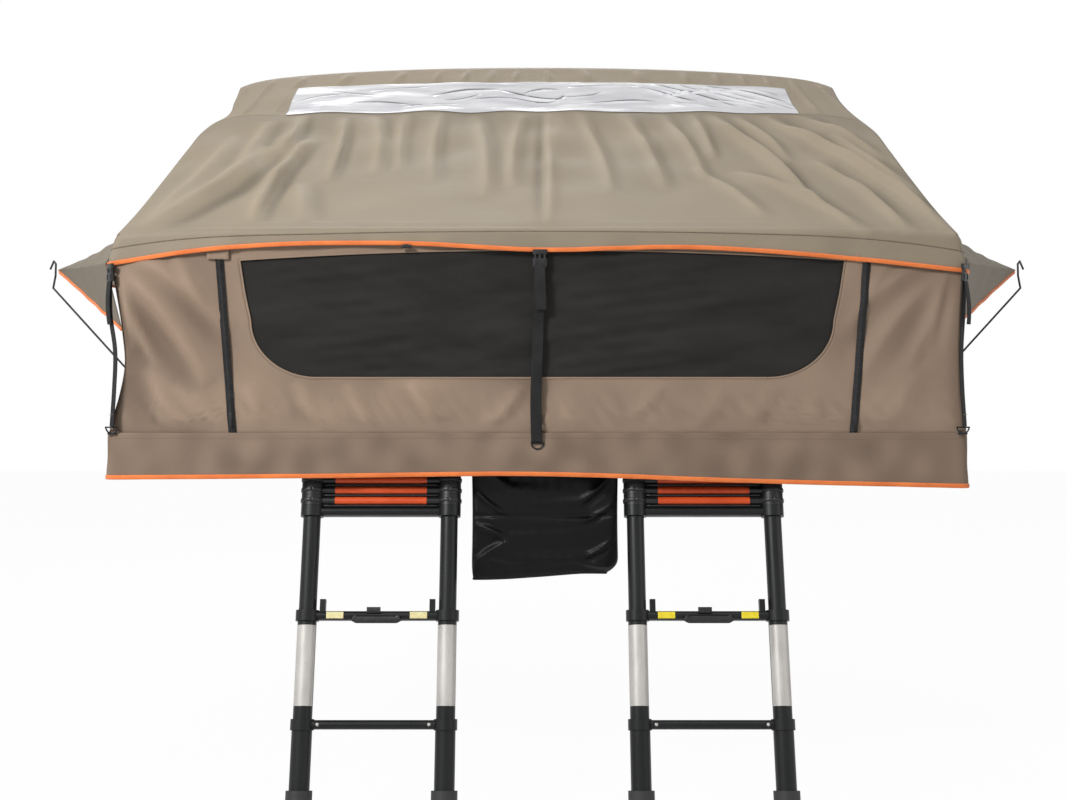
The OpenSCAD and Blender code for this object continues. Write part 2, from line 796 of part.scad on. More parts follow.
// D-rings at the feet of the straps, each on a tab sewn into the seam of wall and skirt: the tab
// holds the bow of a corner ring, and the bar of the middle one
module d_rings() {
  ring_y = front_y + strap_depth + strap_t + ring_wire / 2 + cloth_gap;
  tab_w = 2 * ring_r - 2 * ring_wire;
  seam_z = floor_z + strap_t;
  color(metal) for (x = strap_xs) translate([x, 0, 0]) {
    translate([0, ring_y, ring_z(x)]) rotate([90, 0, 0]) {
      rotate([0, 0, 180]) rotate_extrude(angle = 180) translate([ring_r, 0]) circle(d = ring_wire);
      translate([-ring_r - ring_wire / 2, 0, 0]) rotate([0, 90, 0])
        cylinder(d = ring_wire, h = 2 * ring_r + ring_wire);
    }
    tab_low = min(ring_z(x), seam_z);
    tab_high = max(ring_z(x) - ring_r + ring_wire / 2, seam_z + strap_t);
    translate([-tab_w / 2, ring_y - strap_t / 2, tab_low]) cube([tab_w, strap_t, tab_high - tab_low]);
    translate([-tab_w / 2, ring_y - strap_t / 2, seam_z])
      cube([tab_w, front_y - ring_y + strap_t / 2, 2 * strap_t]);
  }
}

// Skirt

skirt_run = half_l - half_gap / 2 - skirt_r;
skirt_side_cells = 14;
skirt_front_cells = 28;
skirt_turn_cells = 6;
// Points and outward directions along the hem of one half: left side, corner, end, corner, right side
skirt_path = [
  for (i = [0:skirt_side_cells]) [[-side_x, hinge_y - half_gap / 2 - skirt_run * i / skirt_side_cells], 180],
  for (i = [1:skirt_turn_cells]) [
    [-side_x + skirt_r, front_y + skirt_r]
      + skirt_r * [cos(180 + 90 * i / skirt_turn_cells), sin(180 + 90 * i / skirt_turn_cells)],
    180 + 90 * i / skirt_turn_cells
  ],
  for (i = [1:skirt_front_cells])
    [[-side_x + skirt_r + (base_w - 2 * skirt_r) * i / skirt_front_cells, front_y], 270],
  for (i = [1:skirt_turn_cells]) [
    [side_x - skirt_r, front_y + skirt_r]
      + skirt_r * [cos(270 + 90 * i / skirt_turn_cells), sin(270 + 90 * i / skirt_turn_cells)],
    270 + 90 * i / skirt_turn_cells
  ],
  for (i = [1:skirt_side_cells])
    [[side_x, front_y + skirt_r + skirt_run * i / skirt_side_cells], 360]
];
skirt_rows = [0, 0.4, 0.75, 1];
// Folds grow from nothing at the seam to their full depth at the hem, and die out at the hinge line
function skirt_wave(x, y, v) =
  skirt_fold * (1 - v) * (0.5 + 0.5 * sin(360 * (x + y) / skirt_pitch) * cos(200 * (x - y) / skirt_pitch))
    * min(1, (hinge_y - y) / skirt_pitch);
function skirt_point(s, v, t) =
  let (x = s[0][0], y = s[0][1], w = cloth_gap + skirt_wave(x, y, v) + t)
    [x + w * cos(s[1]), y + w * sin(s[1]), floor_z - skirt_h * (1 - v)];

module half_skirt() {
  sheet(
    [for (s = skirt_path) [for (v = skirt_rows) skirt_point(s, v, 0)]],
    [for (s = skirt_path) [for (v = skirt_rows) skirt_point(s, v, skirt_t)]],
    function (i, j) true
  );
}

module skirt_front() {
  color(wall_cloth) half_skirt();
}

module skirt_rear() {
  color(wall_cloth) to_rear() half_skirt();
}

// Awnings

awning_tip_x = side_x + awning_reach;
awning_tip_z = floor_z + awning_tip;
awning_eave_z = roof_z(1, -3);
awning_face_x = side_x + cloth_gap + awning_t;
// Corners of the front half: eave, root, tip and lowest corner
awning_front = [
  [awning_face_x, front_y + 8, awning_eave_z],
  [awning_face_x, front_y + awning_low_in, floor_z + awning_root],
  [awning_tip_x, hinge_y - awning_half, awning_tip_z],
  [awning_face_x, front_y + awning_low_in, floor_z + awning_low]
];
function rearward(p) = [p[0], 2 * hinge_y - p[1], p[2]];
awning_rear = [
  for (i = [0:3]) rearward(awning_front[i]) + (i == 2 ? [0, awning_stagger, 0] : [0, 0, 0])
];

// Cloth folded along the lines from each tip to the eave corner, with a nearly level top
module awning() {
  face = [each awning_front, each awning_rear];
  back = [
    for (p = awning_front) p + awning_t * [-1, 0.7, -0.7],
    for (p = awning_rear) p + awning_t * [-1, -0.7, -0.7]
  ];
  facets = [[0, 1, 2], [3, 0, 2], [1, 5, 6], [1, 6, 2], [5, 4, 6], [4, 7, 6]];
  rim = [3, 0, 1, 5, 4, 7, 6, 2];
  polyhedron(
    [each face, each back],
    [
      each facets,
      for (f = facets) [f[2] + 8, f[1] + 8, f[0] + 8],
      for (i = [0:7]) each [
        [rim[(i + 1) % 8], rim[i], rim[i] + 8],
        [rim[(i + 1) % 8], rim[i] + 8, rim[(i + 1) % 8] + 8]
      ]
    ]
  );
}

module awning_left() {
  color(cloth) mirror([1, 0, 0]) awning();
}

module awning_right() {
  color(cloth) awning();
}

// Awning rods: sprung steel with a cranked top and a hook through the tip's eyelet
rod_foot = [side_x + 0.625 * socket_d, floor_z + rod_rise];
rod_knee = [awning_tip_x + 0.255 * rod_crank, awning_tip_z - rod_crank];
rod_angle = atan2(rod_knee[1] - rod_foot[1], rod_knee[0] - rod_foot[0]);
rod_points = [
  rod_foot, rod_knee,
  for (p = [[0.127, -0.327], [0.109, 0.327], [0.218, 0.473], [0.4, 0.055]])
    [awning_tip_x, awning_tip_z] + rod_crank * p
];

// A round rod along points in the X and Z plane
module rod(points) {
  for (i = [0:len(points) - 2]) {
    d = points[i + 1] - points[i];
    translate([points[i][0], 0, points[i][1]]) rotate([0, 90 - atan2(d[1], d[0]), 0]) {
      cylinder(d = rod_d, h = norm(d));
      translate([0, 0, norm(d)]) sphere(d = rod_d + 2 * rod_play);
    }
  }
}

module rod_pair(y) {
  both_sides() translate([0, y, 0]) rod(rod_points);
}

module awning_rods_front() {
  color(metal) rod_pair(hinge_y - awning_half);
}

module awning_rods_rear() {
  color(metal) rod_pair(hinge_y + awning_half + awning_stagger);
}

// A slanted socket on a foot against the wall, just above the skirt's seam
module socket() {
  difference() {
    union() {
      translate([side_x, -socket_d / 2, floor_z + cloth_gap]) cube([socket_d / 2 + 6, socket_d, 34]);
      translate([rod_foot[0], 0, rod_foot[1]]) rotate([0, 90 - rod_angle, 0])
        translate([0, 0, -4]) cylinder(d = socket_d, h = socket_l + 4);
    }
    translate([rod_foot[0], 0, rod_foot[1]]) rotate([0, 90 - rod_angle, 0])
      translate([0, 0, -rod_play]) cylinder(d = rod_d + 2 * rod_play, h = socket_l + 20);
    translate([side_x + cloth_gap - 2 * socket_d, -socket_d, floor_z - socket_d])
      cube([2 * socket_d, 2 * socket_d, 6 * socket_d]);
  }
}

module rod_sockets_front() {
  color(black) both_sides() translate([0, hinge_y - awning_half, 0]) socket();
}

module rod_sockets_rear() {
  color(black) both_sides() translate([0, hinge_y + awning_half + awning_stagger, 0]) socket();
}

// Ladders

// Places a shape that is drawn upright below the ladder pins
module on_ladder(x) {
  translate([x, ladder_pin_y, ladder_pin_z]) rotate([-ladder_lean, 0, 0]) children();
}

module at_rails() {
  for (s = [-1, 1]) translate([s * rail_gap / 2, 0, 0]) children();
}

// Four brackets under the front rail of the base: a plate, two ears and a pin
module ladder_brackets() {
  ear_x = section_d(7) / 2 + ear_gap;
  plate_l = ladder_in + ear_d / 2;
  color(metal) for (x = [ladder_left_x, ladder_right_x]) translate([x, 0, 0]) at_rails() {
    translate([-ear_x - ear_t, front_y + ladder_in - plate_l + ear_d / 2 + 2, base_z - bracket_t])
      cube([2 * ear_x + 2 * ear_t, plate_l - 2, bracket_t]);
    for (s = [-1, 1]) translate([s * (ear_x + ear_t / 2) - ear_t / 2, ladder_pin_y, ladder_pin_z]) {
      rotate([0, 90, 0]) cylinder(d = ear_d, h = ear_t);
      translate([0, -ear_d / 2, 0]) cube([ear_t, ear_d, ladder_drop - bracket_t]);
    }
    translate([-ear_x - ear_t - 3, ladder_pin_y, ladder_pin_z]) rotate([0, 90, 0])
      cylinder(d = ladder_pin_d, h = 2 * ear_x + 2 * ear_t + 6);
  }
}

// A rung: rounded in front, flat behind
module rung() {
  round_r = rung_h / 2 - 1;
  length = rail_gap - collar_d + 8;
  translate([-length / 2, 0, 0]) rotate([90, 0, 90]) linear_extrude(length) difference() {
    union() {
      translate([-rung_d / 2 + round_r, -rung_h / 2]) square([rung_d - round_r, rung_h]);
      translate([-rung_d / 2 + round_r, -round_r]) square([rung_d / 2, 2 * round_r]);
      translate([-rung_d / 2 + round_r, 0]) circle(r = round_r);
    }
    square([rung_d - 2 * round_r, rung_h - 6], center = true);
  }
}

// One pair of tubes with its collars and rung. The top pair ends in eyes on the bracket pins
module section(k) {
  s = rung_s(k);
  d = section_d(k);
  bottom = k == 1 ? foot_s - sole_t : s + tube_l;
  top = k == 7 ? 0 : s - collar_h / 2;
  difference() {
    union() {
      at_rails() {
        translate([0, 0, -bottom]) cylinder(d = d, h = bottom - top);
        translate([0, 0, -s - collar_h / 2]) cylinder(d = collar_d, h = collar_h);
        if (k == 7) rotate([0, 90, 0]) cylinder(d = ear_d, h = d, center = true);
      }
      translate([0, 0, -s]) rung();
      if (k == 2) for (e = [-1, 1])
        translate([e * (rail_gap / 2 - collar_d / 2 - 9) - 7, -rung_d / 4, -s])
          cube([14, rung_d / 2, rung_h / 2 + stop_h]);
    }
    at_rails() {
      hollow_top = k == 7 ? s - collar_h / 2 : top - 1;
      translate([0, 0, -bottom - 1]) cylinder(d = d - 2 * ladder_wall, h = bottom - hollow_top + 1);
      if (k == 7) rotate([0, 90, 0])
        cylinder(d = ladder_pin_d + 2 * pin_clear, h = 2 * d, center = true);
    }
  }
}

// A bar in front of the second rung that is pressed up to let the sections slide
module release_bar() {
  translate([-bar_w / 2, -rung_d / 2 - bar_gap - bar_t, -rung_s(2) - rung_h / 2])
    cube([bar_w, bar_t, bar_h]);
}

// Rubber boots over the ends of the lowest tubes
module feet() {
  at_rails() difference() {
    translate([0, 0, -foot_s]) cylinder(d = boot_d, h = boot_l);
    translate([0, 0, -foot_s + sole_t]) cylinder(d = section_d(1), h = boot_l);
  }
}

module ladder_section(x, k) {
  color(k > 3 ? orange : black) on_ladder(x) section(k);
}

module ladder_bar(x) {
  color(black) on_ladder(x) release_bar();
}

module ladder_feet(x) {
  color(black) on_ladder(x) feet();
}

// Bag under the front edge of the base, open at its top

module bag_shape(inset) {
  width = bag_right - bag_left - 2 * inset;
  r = bag_r - inset;
  translate([bag_left + inset, base_z - bag_h + inset]) {
    translate([r, r]) circle(r = r);
    translate([width - r, r]) circle(r = r);
    translate([r, 0]) square([width - 2 * r, r + 1]);
    translate([0, r]) square([width, bag_h - inset - r]);
  }
}

module shoe_bag() {
  color(black) difference() {
    front_sheet(bag_in, bag_d) bag_shape(0);
    front_sheet(bag_in + bag_wall, bag_d - 2 * bag_wall) translate([0, 1]) bag_shape(bag_wall);
  }
}

base_frame_front();
base_frame_rear();
floor_panel_front();
floor_panel_rear();
mount_channels();
channel_screws();
hinge_plates_front();
hinge_plates_rear();
hinge_pins();
bow_front();
bow_main();
bow_rear();
mattress_front();
mattress_rear();
roof_front();
roof_rear();
skylight_front();
skylight_rear();
wall_front();
wall_rear();
window_front();
window_rear();
side_wall_left();
side_wall_right();
side_window_left();
side_window_right();
door_zips();
straps();
buckles();
d_rings();
skirt_front();
skirt_rear();
awning_left();
awning_right();
awning_rods_front();
awning_rods_rear();
rod_sockets_front();
rod_sockets_rear();
ladder_brackets();
shoe_bag();
ladder_section(ladder_left_x, 1);  // left_section_1
ladder_section(ladder_left_x, 2);  // left_section_2
ladder_section(ladder_left_x, 3);  // left_section_3
ladder_section(ladder_left_x, 4);  // left_section_4
ladder_section(ladder_left_x, 5);  // left_section_5
ladder_section(ladder_left_x, 6);  // left_section_6
ladder_section(ladder_left_x, 7);  // left_section_7
ladder_bar(ladder_left_x);  // left_release_bar
ladder_feet(ladder_left_x);  // left_feet
ladder_section(ladder_right_x, 1);  // right_section_1
ladder_section(ladder_right_x, 2);  // right_section_2
ladder_section(ladder_right_x, 3);  // right_section_3
ladder_section(ladder_right_x, 4);  // right_section_4
ladder_section(ladder_right_x, 5);  // right_section_5
ladder_section(ladder_right_x, 6);  // right_section_6
ladder_section(ladder_right_x, 7);  // right_section_7
ladder_bar(ladder_right_x);  // right_release_bar
ladder_feet(ladder_right_x);  // right_feet
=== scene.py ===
import math
import bmesh
import bpy
import numpy as np
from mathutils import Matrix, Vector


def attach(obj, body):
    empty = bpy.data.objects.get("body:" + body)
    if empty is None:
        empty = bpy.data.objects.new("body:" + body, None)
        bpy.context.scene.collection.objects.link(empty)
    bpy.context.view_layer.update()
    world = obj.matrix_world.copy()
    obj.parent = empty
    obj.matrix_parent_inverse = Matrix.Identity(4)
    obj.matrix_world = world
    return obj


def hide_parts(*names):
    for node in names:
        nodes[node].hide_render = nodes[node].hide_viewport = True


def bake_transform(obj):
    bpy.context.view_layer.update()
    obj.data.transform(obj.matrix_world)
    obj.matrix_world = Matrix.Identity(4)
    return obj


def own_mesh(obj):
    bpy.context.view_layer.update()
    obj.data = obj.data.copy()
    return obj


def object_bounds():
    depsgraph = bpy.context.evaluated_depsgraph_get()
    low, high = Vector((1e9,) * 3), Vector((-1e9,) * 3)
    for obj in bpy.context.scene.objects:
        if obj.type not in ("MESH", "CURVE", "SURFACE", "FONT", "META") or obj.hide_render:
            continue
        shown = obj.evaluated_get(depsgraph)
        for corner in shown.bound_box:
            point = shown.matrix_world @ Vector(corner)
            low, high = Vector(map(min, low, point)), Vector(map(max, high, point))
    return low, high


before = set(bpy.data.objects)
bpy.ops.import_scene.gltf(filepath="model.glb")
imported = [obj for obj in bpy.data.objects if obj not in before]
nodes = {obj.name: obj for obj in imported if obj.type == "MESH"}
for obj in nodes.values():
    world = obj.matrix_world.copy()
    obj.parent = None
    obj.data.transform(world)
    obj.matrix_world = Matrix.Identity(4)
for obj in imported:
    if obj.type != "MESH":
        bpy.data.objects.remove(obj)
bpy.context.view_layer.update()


# Base halves: two welded aluminium box frames, each with a coated board let into its ring.
# Two pressed channels are screwed under the rear half and carry the whole tent on the rack.
def tone(r, g, b):
    """A colour as the eye reads it, 0 to 255, turned into the linear light a shader takes."""
    c = np.array([r, g, b], float) / 255.0
    c = np.where(c <= 0.04045, c / 12.92, ((c + 0.055) / 1.055) ** 2.4)
    return (float(c[0]), float(c[1]), float(c[2]), 1.0)


def node(tree, kind, feeds=(), **settings):
    """A shader node with its settings; feeds gives each input a value, or a socket to link."""
    made = tree.nodes.new("ShaderNode" + kind)
    for setting, value in settings.items():
        setattr(made, setting, value)
    for socket, value in dict(feeds).items():
        if isinstance(value, bpy.types.NodeSocket):
            tree.links.new(value, made.inputs[socket])
        else:
            made.inputs[socket].default_value = value
    return made


def place(tree, source, stretch=(1, 1, 1)):
    """Where a pattern sits: Object coordinates or the UV map, stretched along its axes."""
    at = node(tree, "TexCoord").outputs[source]
    return node(tree, "Mapping", {"Vector": at, "Scale": stretch}).outputs["Vector"]


def noise(tree, size, detail, source, stretch):
    """Cloud noise of a given size in metres."""
    return node(tree, "TexNoise", {"Scale": 1.0 / size, "Detail": detail,
                                   "Vector": place(tree, source, stretch)}).outputs["Fac"]


def finish(name, low, high, cloud, rough, metal=0.0, stretch=(1, 1, 1), source="Object",
           **sockets):
    """A surface finish: its colour drifts from a low to a high shade on cloud noise of a given
    size, and so does its roughness where that is a pair; what is the same all over it is set on
    the shader's own sockets."""
    made = bpy.data.materials.new(name)
    made.use_nodes = True
    tree = made.node_tree
    takes = tree.nodes["Principled BSDF"].inputs
    takes["Metallic"].default_value = metal
    for socket, value in sockets.items():
        takes[socket.replace("_", " ")].default_value = value
    drift = noise(tree, cloud, 5.0, source, stretch)
    shades = node(tree, "ValToRGB", {"Fac": drift})
    for stop, at, shade in zip(shades.color_ramp.elements, (0.32, 0.68), (low, high)):
        stop.position, stop.color = at, tone(*shade)
    tree.links.new(shades.outputs["Color"], takes["Base Color"])
    if isinstance(rough, tuple):
        span = node(tree, "MapRange", {"Value": drift, "From Min": 0.3, "From Max": 0.7,
                                       "To Min": rough[0], "To Max": rough[1]})
        tree.links.new(span.outputs["Result"], takes["Roughness"])
    else:
        takes["Roughness"].default_value = rough
    return made


def raised(made, height, distance, strength=1.0):
    """Bumps a finish by a height, over whatever bump it already has."""
    tree = made.node_tree
    normal = tree.nodes["Principled BSDF"].inputs["Normal"]
    bump = node(tree, "Bump", {"Distance": distance, "Strength": strength, "Height": height})
    if normal.links:
        tree.links.new(normal.links[0].from_socket, bump.inputs["Normal"])
    tree.links.new(bump.outputs["Normal"], normal)


def grained(made, size, distance, stretch=(1, 1, 1), strength=1.0, source="Object"):
    """Fine cloud noise as a bump: the grain of a casting, a coating or a brushed face."""
    raised(made, noise(made.node_tree, size, 3.0, source, stretch), distance, strength)


def dress(finished, *names):
    """Gives a finish to solids that keep their own shape."""
    for name in names:
        for covered in nodes[name].material_slots:
            covered.material = finished


mill_aluminium = finish("mill_aluminium", (150, 152, 154), (186, 188, 190), 0.09, (0.28, 0.46),
                        0.9, (0.2, 1, 1))
grained(mill_aluminium, 0.0015, 0.0002, (0.05, 1, 1), 0.5)
dress(mill_aluminium, "base_frame_front", "base_frame_rear", "mount_channels")

coated_board = finish("coated_board", (58, 57, 55), (74, 72, 69), 0.2, (0.5, 0.68))
grained(coated_board, 0.004, 0.0004)
dress(coated_board, "floor_panel_front", "floor_panel_rear")

zinc_plate = finish("zinc_plate", (132, 134, 136), (176, 177, 176), 0.02, (0.24, 0.44), 1.0)
grained(zinc_plate, 0.003, 0.0001)
dress(zinc_plate, "channel_screws")


# Hinges and bows: stamped steel plates turn on one pin at each side, and three aluminium bows
# fan out of the same pins to spread the cloth.
black_steel = finish("black_steel", (26, 27, 28), (44, 45, 47), 0.03, (0.34, 0.55), 0.6)
grained(black_steel, 0.002, 0.0002)
dress(black_steel, "hinge_plates_front", "hinge_plates_rear", "ladder_brackets", "d_rings")
dress(zinc_plate, "hinge_pins")

drawn_tube = finish("drawn_tube", (164, 166, 168), (198, 199, 200), 0.05, (0.24, 0.38), 0.95,
                    (0.1, 1, 1))
grained(drawn_tube, 0.0012, 0.00012, (0.04, 1, 1), 0.6)
dress(drawn_tube, "bow_front", "bow_main", "bow_rear")


# Mattresses: a foam slab in each base half, in a boxed cotton cover with a corded edge.
# The slab lies on the floor board and meets its neighbour at the hinge.
def spots(*parts):
    """Coordinates put together into places; a single number fills out to the others' shape."""
    return np.stack(np.broadcast_arrays(*parts), axis=-1)


def grid(across, along):
    """Two parameters over a grid, each evenly spaced: a start, a stop and a count."""
    return np.meshgrid(np.linspace(*across), np.linspace(*along), indexing="ij")


def ripple(x, y, seed, length, count=9):
    """Soft unevenness of cloth: a sum of sine waves in seeded directions, near a given length."""
    rng = np.random.default_rng(int(seed * 10))
    turn = rng.uniform(0, math.pi, count)
    pace = rng.uniform(0.6, 1.6, count) * 2 * math.pi / length
    start = rng.uniform(0, 2 * math.pi, count)
    x, y = np.broadcast_arrays(x, y)
    waves = np.sin(pace * (x[..., None] * np.cos(turn) + y[..., None] * np.sin(turn)) + start)
    return waves.sum(axis=-1) / math.sqrt(count)


def run_of(path):
    """How far along a path each of its points lies."""
    steps = np.linalg.norm(np.diff(path, axis=0), axis=1)
    return np.concatenate([[0.0], steps.cumsum()])


def surface(name, points, flat, finished, faces_to=None, keep=None, wall=0.0, relief_and_shade=None):
    """A mesh over a grid of points; flat is each point's place on the cut cloth in metres and becomes
    the UV map. An open sheet is turned to face a direction, and a closed form outwards; keep leaves
    out the cells of a hole; wall adds a thickness inwards; relief and shade runs from -1 in a hollow
    to 1 on a ridge, with painted shade added in places. It is kept as an attribute from which the
    finish paints shade into hollows and light onto ridges."""
    rows, cols = points.shape[:2]
    a = np.arange(rows - 1)[:, None] * cols + np.arange(cols - 1)[None, :]
    quads = np.stack([a, a + 1, a + cols + 1, a + cols], axis=-1).reshape(-1, 4)
    if keep is not None:
        quads = quads[keep.reshape(-1)]
    flat_points = points.reshape(-1, 3)
    if faces_to is not None:
        p = flat_points[quads]
        area = np.cross(p[:, 2] - p[:, 0], p[:, 3] - p[:, 1]).sum(axis=0)
        if area @ np.asarray(faces_to, float) < 0:
            quads = quads[:, ::-1]
    mesh = bpy.data.meshes.new(name)
    mesh.from_pydata(flat_points.tolist(), [], quads.tolist())
    corner = np.empty(len(mesh.loops), dtype=np.int32)
    mesh.loops.foreach_get("vertex_index", corner)
    cut = mesh.uv_layers.new(name="cut")
    cut.data.foreach_set("uv", flat.reshape(-1, 2)[corner].astype(np.float32).ravel())
    mesh.polygons.foreach_set("use_smooth", np.ones(len(mesh.polygons), dtype=bool))
    if relief_and_shade is not None:
        kept = mesh.attributes.new("relief_and_shade", "FLOAT", "POINT")
        kept.data.foreach_set("value", np.clip(relief_and_shade, -1, 1).astype(np.float32).ravel())
    sewn = bmesh.new()
    sewn.from_mesh(mesh)
    bmesh.ops.remove_doubles(sewn, verts=sewn.verts, dist=1e-6)
    bmesh.ops.dissolve_degenerate(sewn, edges=sewn.edges, dist=1e-7)
    if faces_to is None:
        bmesh.ops.recalc_face_normals(sewn, faces=sewn.faces)
    bmesh.ops.delete(sewn, geom=[v for v in sewn.verts if not v.link_faces], context="VERTS")
    sewn.to_mesh(mesh)
    sewn.free()
    mesh.materials.append(finished)
    piece = bpy.data.objects.new(name, mesh)
    bpy.context.scene.collection.objects.link(piece)
    if wall:
        thick = piece.modifiers.new("cloth", "SOLIDIFY")
        thick.thickness, thick.offset = wall, -1.0
    return piece


def ring(width, height, count, power):
    """A closed profile, a superellipse: higher powers are squarer. Its end meets its start."""
    a = np.linspace(0, 2 * math.pi, count + 1)
    c, s = np.cos(a), np.sin(a)
    profile = spots(width / 2 * np.sign(c) * np.abs(c) ** (2 / power),
                    height / 2 * np.sign(s) * np.abs(s) ** (2 / power))
    profile[-1] = profile[0]
    return profile


def carried(name, path, profile, finished, side=(0, 0, 1)):
    """A piece made by carrying a profile along a path: its width lies along side, squared to the
    path, and its height across both; each end closes on its middle."""
    path, side = np.asarray(path, float), np.asarray(side, float)
    along = np.gradient(path, axis=0)
    along /= np.linalg.norm(along, axis=1)[:, None]
    across = side - (along * side).sum(axis=1)[:, None] * along
    across /= np.linalg.norm(across, axis=1)[:, None]
    up = np.cross(along, across)
    points = (path[:, None] + profile[None, :, :1] * across[:, None]
              + profile[None, :, 1:] * up[:, None])
    cap = np.ones((1, len(profile), 1))
    points = np.concatenate([path[:1, None] * cap, points, path[-1:, None] * cap])
    run = run_of(path)
    run = np.concatenate([run[:1], run, run[-1:]])
    return surface(name, points, spots(run_of(profile)[None], run[:, None]), finished)


def fixed(piece, body):
    """Fixes a piece to the body it moves with."""
    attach(piece, body)
    return piece


def woven(made, pitch, distance, strength=1.0):
    """Plain weave on the UV map: the higher of two sine waves, across and along the cut."""
    tree = made.node_tree
    wave = {"Scale": 2 * math.pi / (20.0 * pitch), "Distortion": 0.4, "Vector": place(tree, "UV")}
    threads = [node(tree, "TexWave", wave, bands_direction=way).outputs["Fac"] for way in "XY"]
    both = node(tree, "Math", enumerate(threads), operation="MAXIMUM")
    raised(made, both.outputs["Value"], distance, strength)


cotton_cover = finish("cotton_cover", (112, 108, 100), (132, 127, 118), 0.12, 0.85,
                      Sheen_Weight=0.25)
woven(cotton_cover, 0.0016, 0.0004)

pad_half, pad_foot, pad_seam = 1.019, 0.0705, 0.103
for name, body, near, far, seed in (("mattress_front", "overhang_base", -1.769, -0.6035, 3),
                                    ("mattress_rear", "fixed_base", -0.5965, 0.569, 4)):
    u, v = grid((-1, 1, 181), (-1, 1, 129))
    half_l, middle = (far - near) / 2, (far + near) / 2
    edge = np.clip(1 - np.maximum(np.abs(u), np.abs(v)) ** 14, 0, 1) ** 0.42
    tuft = 0.0012 * np.cos(u * 7 * math.pi) * np.cos(v * 4 * math.pi)
    x = u * pad_half * (1 - 0.006 * (1 - v ** 2) * u ** 4)
    y = middle + v * half_l * (1 - 0.006 * (1 - u ** 2) * v ** 4)
    top = pad_seam + 0.0285 * edge + edge * (tuft + 0.0008 * ripple(x, y, seed, 0.3))
    points = np.concatenate([spots(x, y, top), spots(x, y, pad_seam - 0.0325 * edge)[::-1]])
    pad = surface(name + "_pad", points, points[..., :2], cotton_cover)
    s = np.linspace(0, 2 * math.pi, 401)
    c, d = np.cos(s), np.sin(s)
    round_edge = spots(pad_half * 0.992 * np.sign(c) * np.abs(c) ** 0.12,
                       middle + half_l * 0.992 * np.sign(d) * np.abs(d) ** 0.12, pad_seam)
    edge_cord = carried(name + "_edge_cord", round_edge, ring(0.006, 0.006, 10, 2), cotton_cover)
    for piece in (pad, edge_cord):
        fixed(piece, body)
        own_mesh(piece)
    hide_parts(name)


# Roof canopy: a coated ripstop sheet over the bows in two slopes, with a valance that rolls over
# the eave bow and ends in an orange binding. A clear film strip is welded in below the ridge.
def painted_fold_shade(made, hollow, level):
    """Paints shade into the hollows of a finish's folds and light onto their ridges: the colour is
    multiplied by a grey that follows the relief and shade attribute. The grey is dark in the hollows,
    level on flat cloth and white on the ridges, which keep the finish's own colour."""
    tree = made.node_tree
    colour = tree.nodes["Principled BSDF"].inputs["Base Color"]
    depth = node(tree, "Attribute", attribute_name="relief_and_shade").outputs["Fac"]
    span = node(tree, "MapRange", {"Value": depth, "From Min": -1.0, "From Max": 1.0})
    grey = node(tree, "ValToRGB", {"Fac": span.outputs["Result"]})
    grey.color_ramp.elements[0].color = (hollow, hollow, hollow, 1.0)
    grey.color_ramp.elements.new(0.5).color = (level, level, level, 1.0)
    both = node(tree, "Mix", {"Factor": 1.0, "A": colour.links[0].from_socket,
                              "B": grey.outputs["Color"]}, data_type="RGBA", blend_type="MULTIPLY")
    tree.links.new(both.outputs["Result"], colour)


canopy_cloth = finish("canopy_cloth", (144, 132, 113), (156, 143, 123), 0.35, (0.5, 0.64),
                      Specular_IOR_Level=0.3)
# Painted shade in the hollows of the cloth's folds and painted light on their ridges.
painted_fold_shade(canopy_cloth, 0.50, 0.86)
grained(canopy_cloth, 0.045, 0.004, (1, 1, 1), 0.35)
woven(canopy_cloth, 0.0022, 0.0003, 0.6)

bound_edge = finish("bound_edge", (224, 112, 44), (240, 128, 56), 0.06, 0.6, Sheen_Weight=0.2)
woven(bound_edge, 0.0018, 0.0004)

eave_thread = finish("eave_thread", (104, 94, 78), (120, 109, 92), 0.01, 0.8)
woven(eave_thread, 0.0012, 0.0003)

clear_film = finish("clear_film", (182, 182, 187), (212, 212, 214), 0.10, (0.14, 0.3), 0.0,
                    (0.5, 1.6, 1), "UV")
# Painted shade: the film's colour goes near black in the hollows of its creases and a little lighter
# on their ridges.
painted_fold_shade(clear_film, 0.03, 0.94)
grained(clear_film, 0.05, 0.003, (0.5, 1.4, 1), 0.5, "UV")

eave_y, ridge_y, eave_z, ridge_z = -1.7872, -0.6, 0.5977, 1.3150
slope = math.atan2(ridge_z - eave_z, ridge_y - eave_y)
off_slope = np.array([0.0, -math.sin(slope), math.cos(slope)])
slope_run, eave_fall, ridge_fall, corner_fall = 1.386, 0.016, 0.047, 0.022
sky_low, sky_high, sky_left, sky_right = 0.7045, 0.8830, -0.803, 0.838
film_lap, film_seam = 0.007, 0.014
cloth_thick, mesh_thick = 0.0012, 0.0006


def held(share):
    """A share kept between none and all."""
    return np.clip(share, 0, 1)


def through(x, xs, zs):
    """A smooth line through given points: cubic between neighbours, its slope at a point taken
    from the points on both sides."""
    xs, zs = np.asarray(xs, float), np.asarray(zs, float)
    rise = np.gradient(zs, xs)
    i = np.clip(np.searchsorted(xs, x) - 1, 0, len(xs) - 2)
    h = xs[i + 1] - xs[i]
    q = held((x - xs[i]) / h)
    return ((1 + 2 * q) * (1 - q) ** 2 * zs[i] + q * (1 - q) ** 2 * h * rise[i]
            + q ** 2 * (3 - 2 * q) * zs[i + 1] + q ** 2 * (q - 1) * h * rise[i + 1])


def half_width(t, side):
    """Half the roof's width at a share t of its slope: drawn in at the skylight's seam, full
    just below it, and even from there to the eave."""
    stops = [0.0, 0.09, 0.3, 0.5, 0.63, 0.69, 0.74, 0.86, 1.0]
    left = [1.068, 1.060, 1.053, 1.049, 1.043, 1.028, 1.004, 1.010, 1.026]
    right = [1.070, 1.062, 1.057, 1.058, 1.056, 1.044, 1.032, 1.018, 1.026]
    return np.where(side < 0, through(t, stops, left), through(t, stops, right))


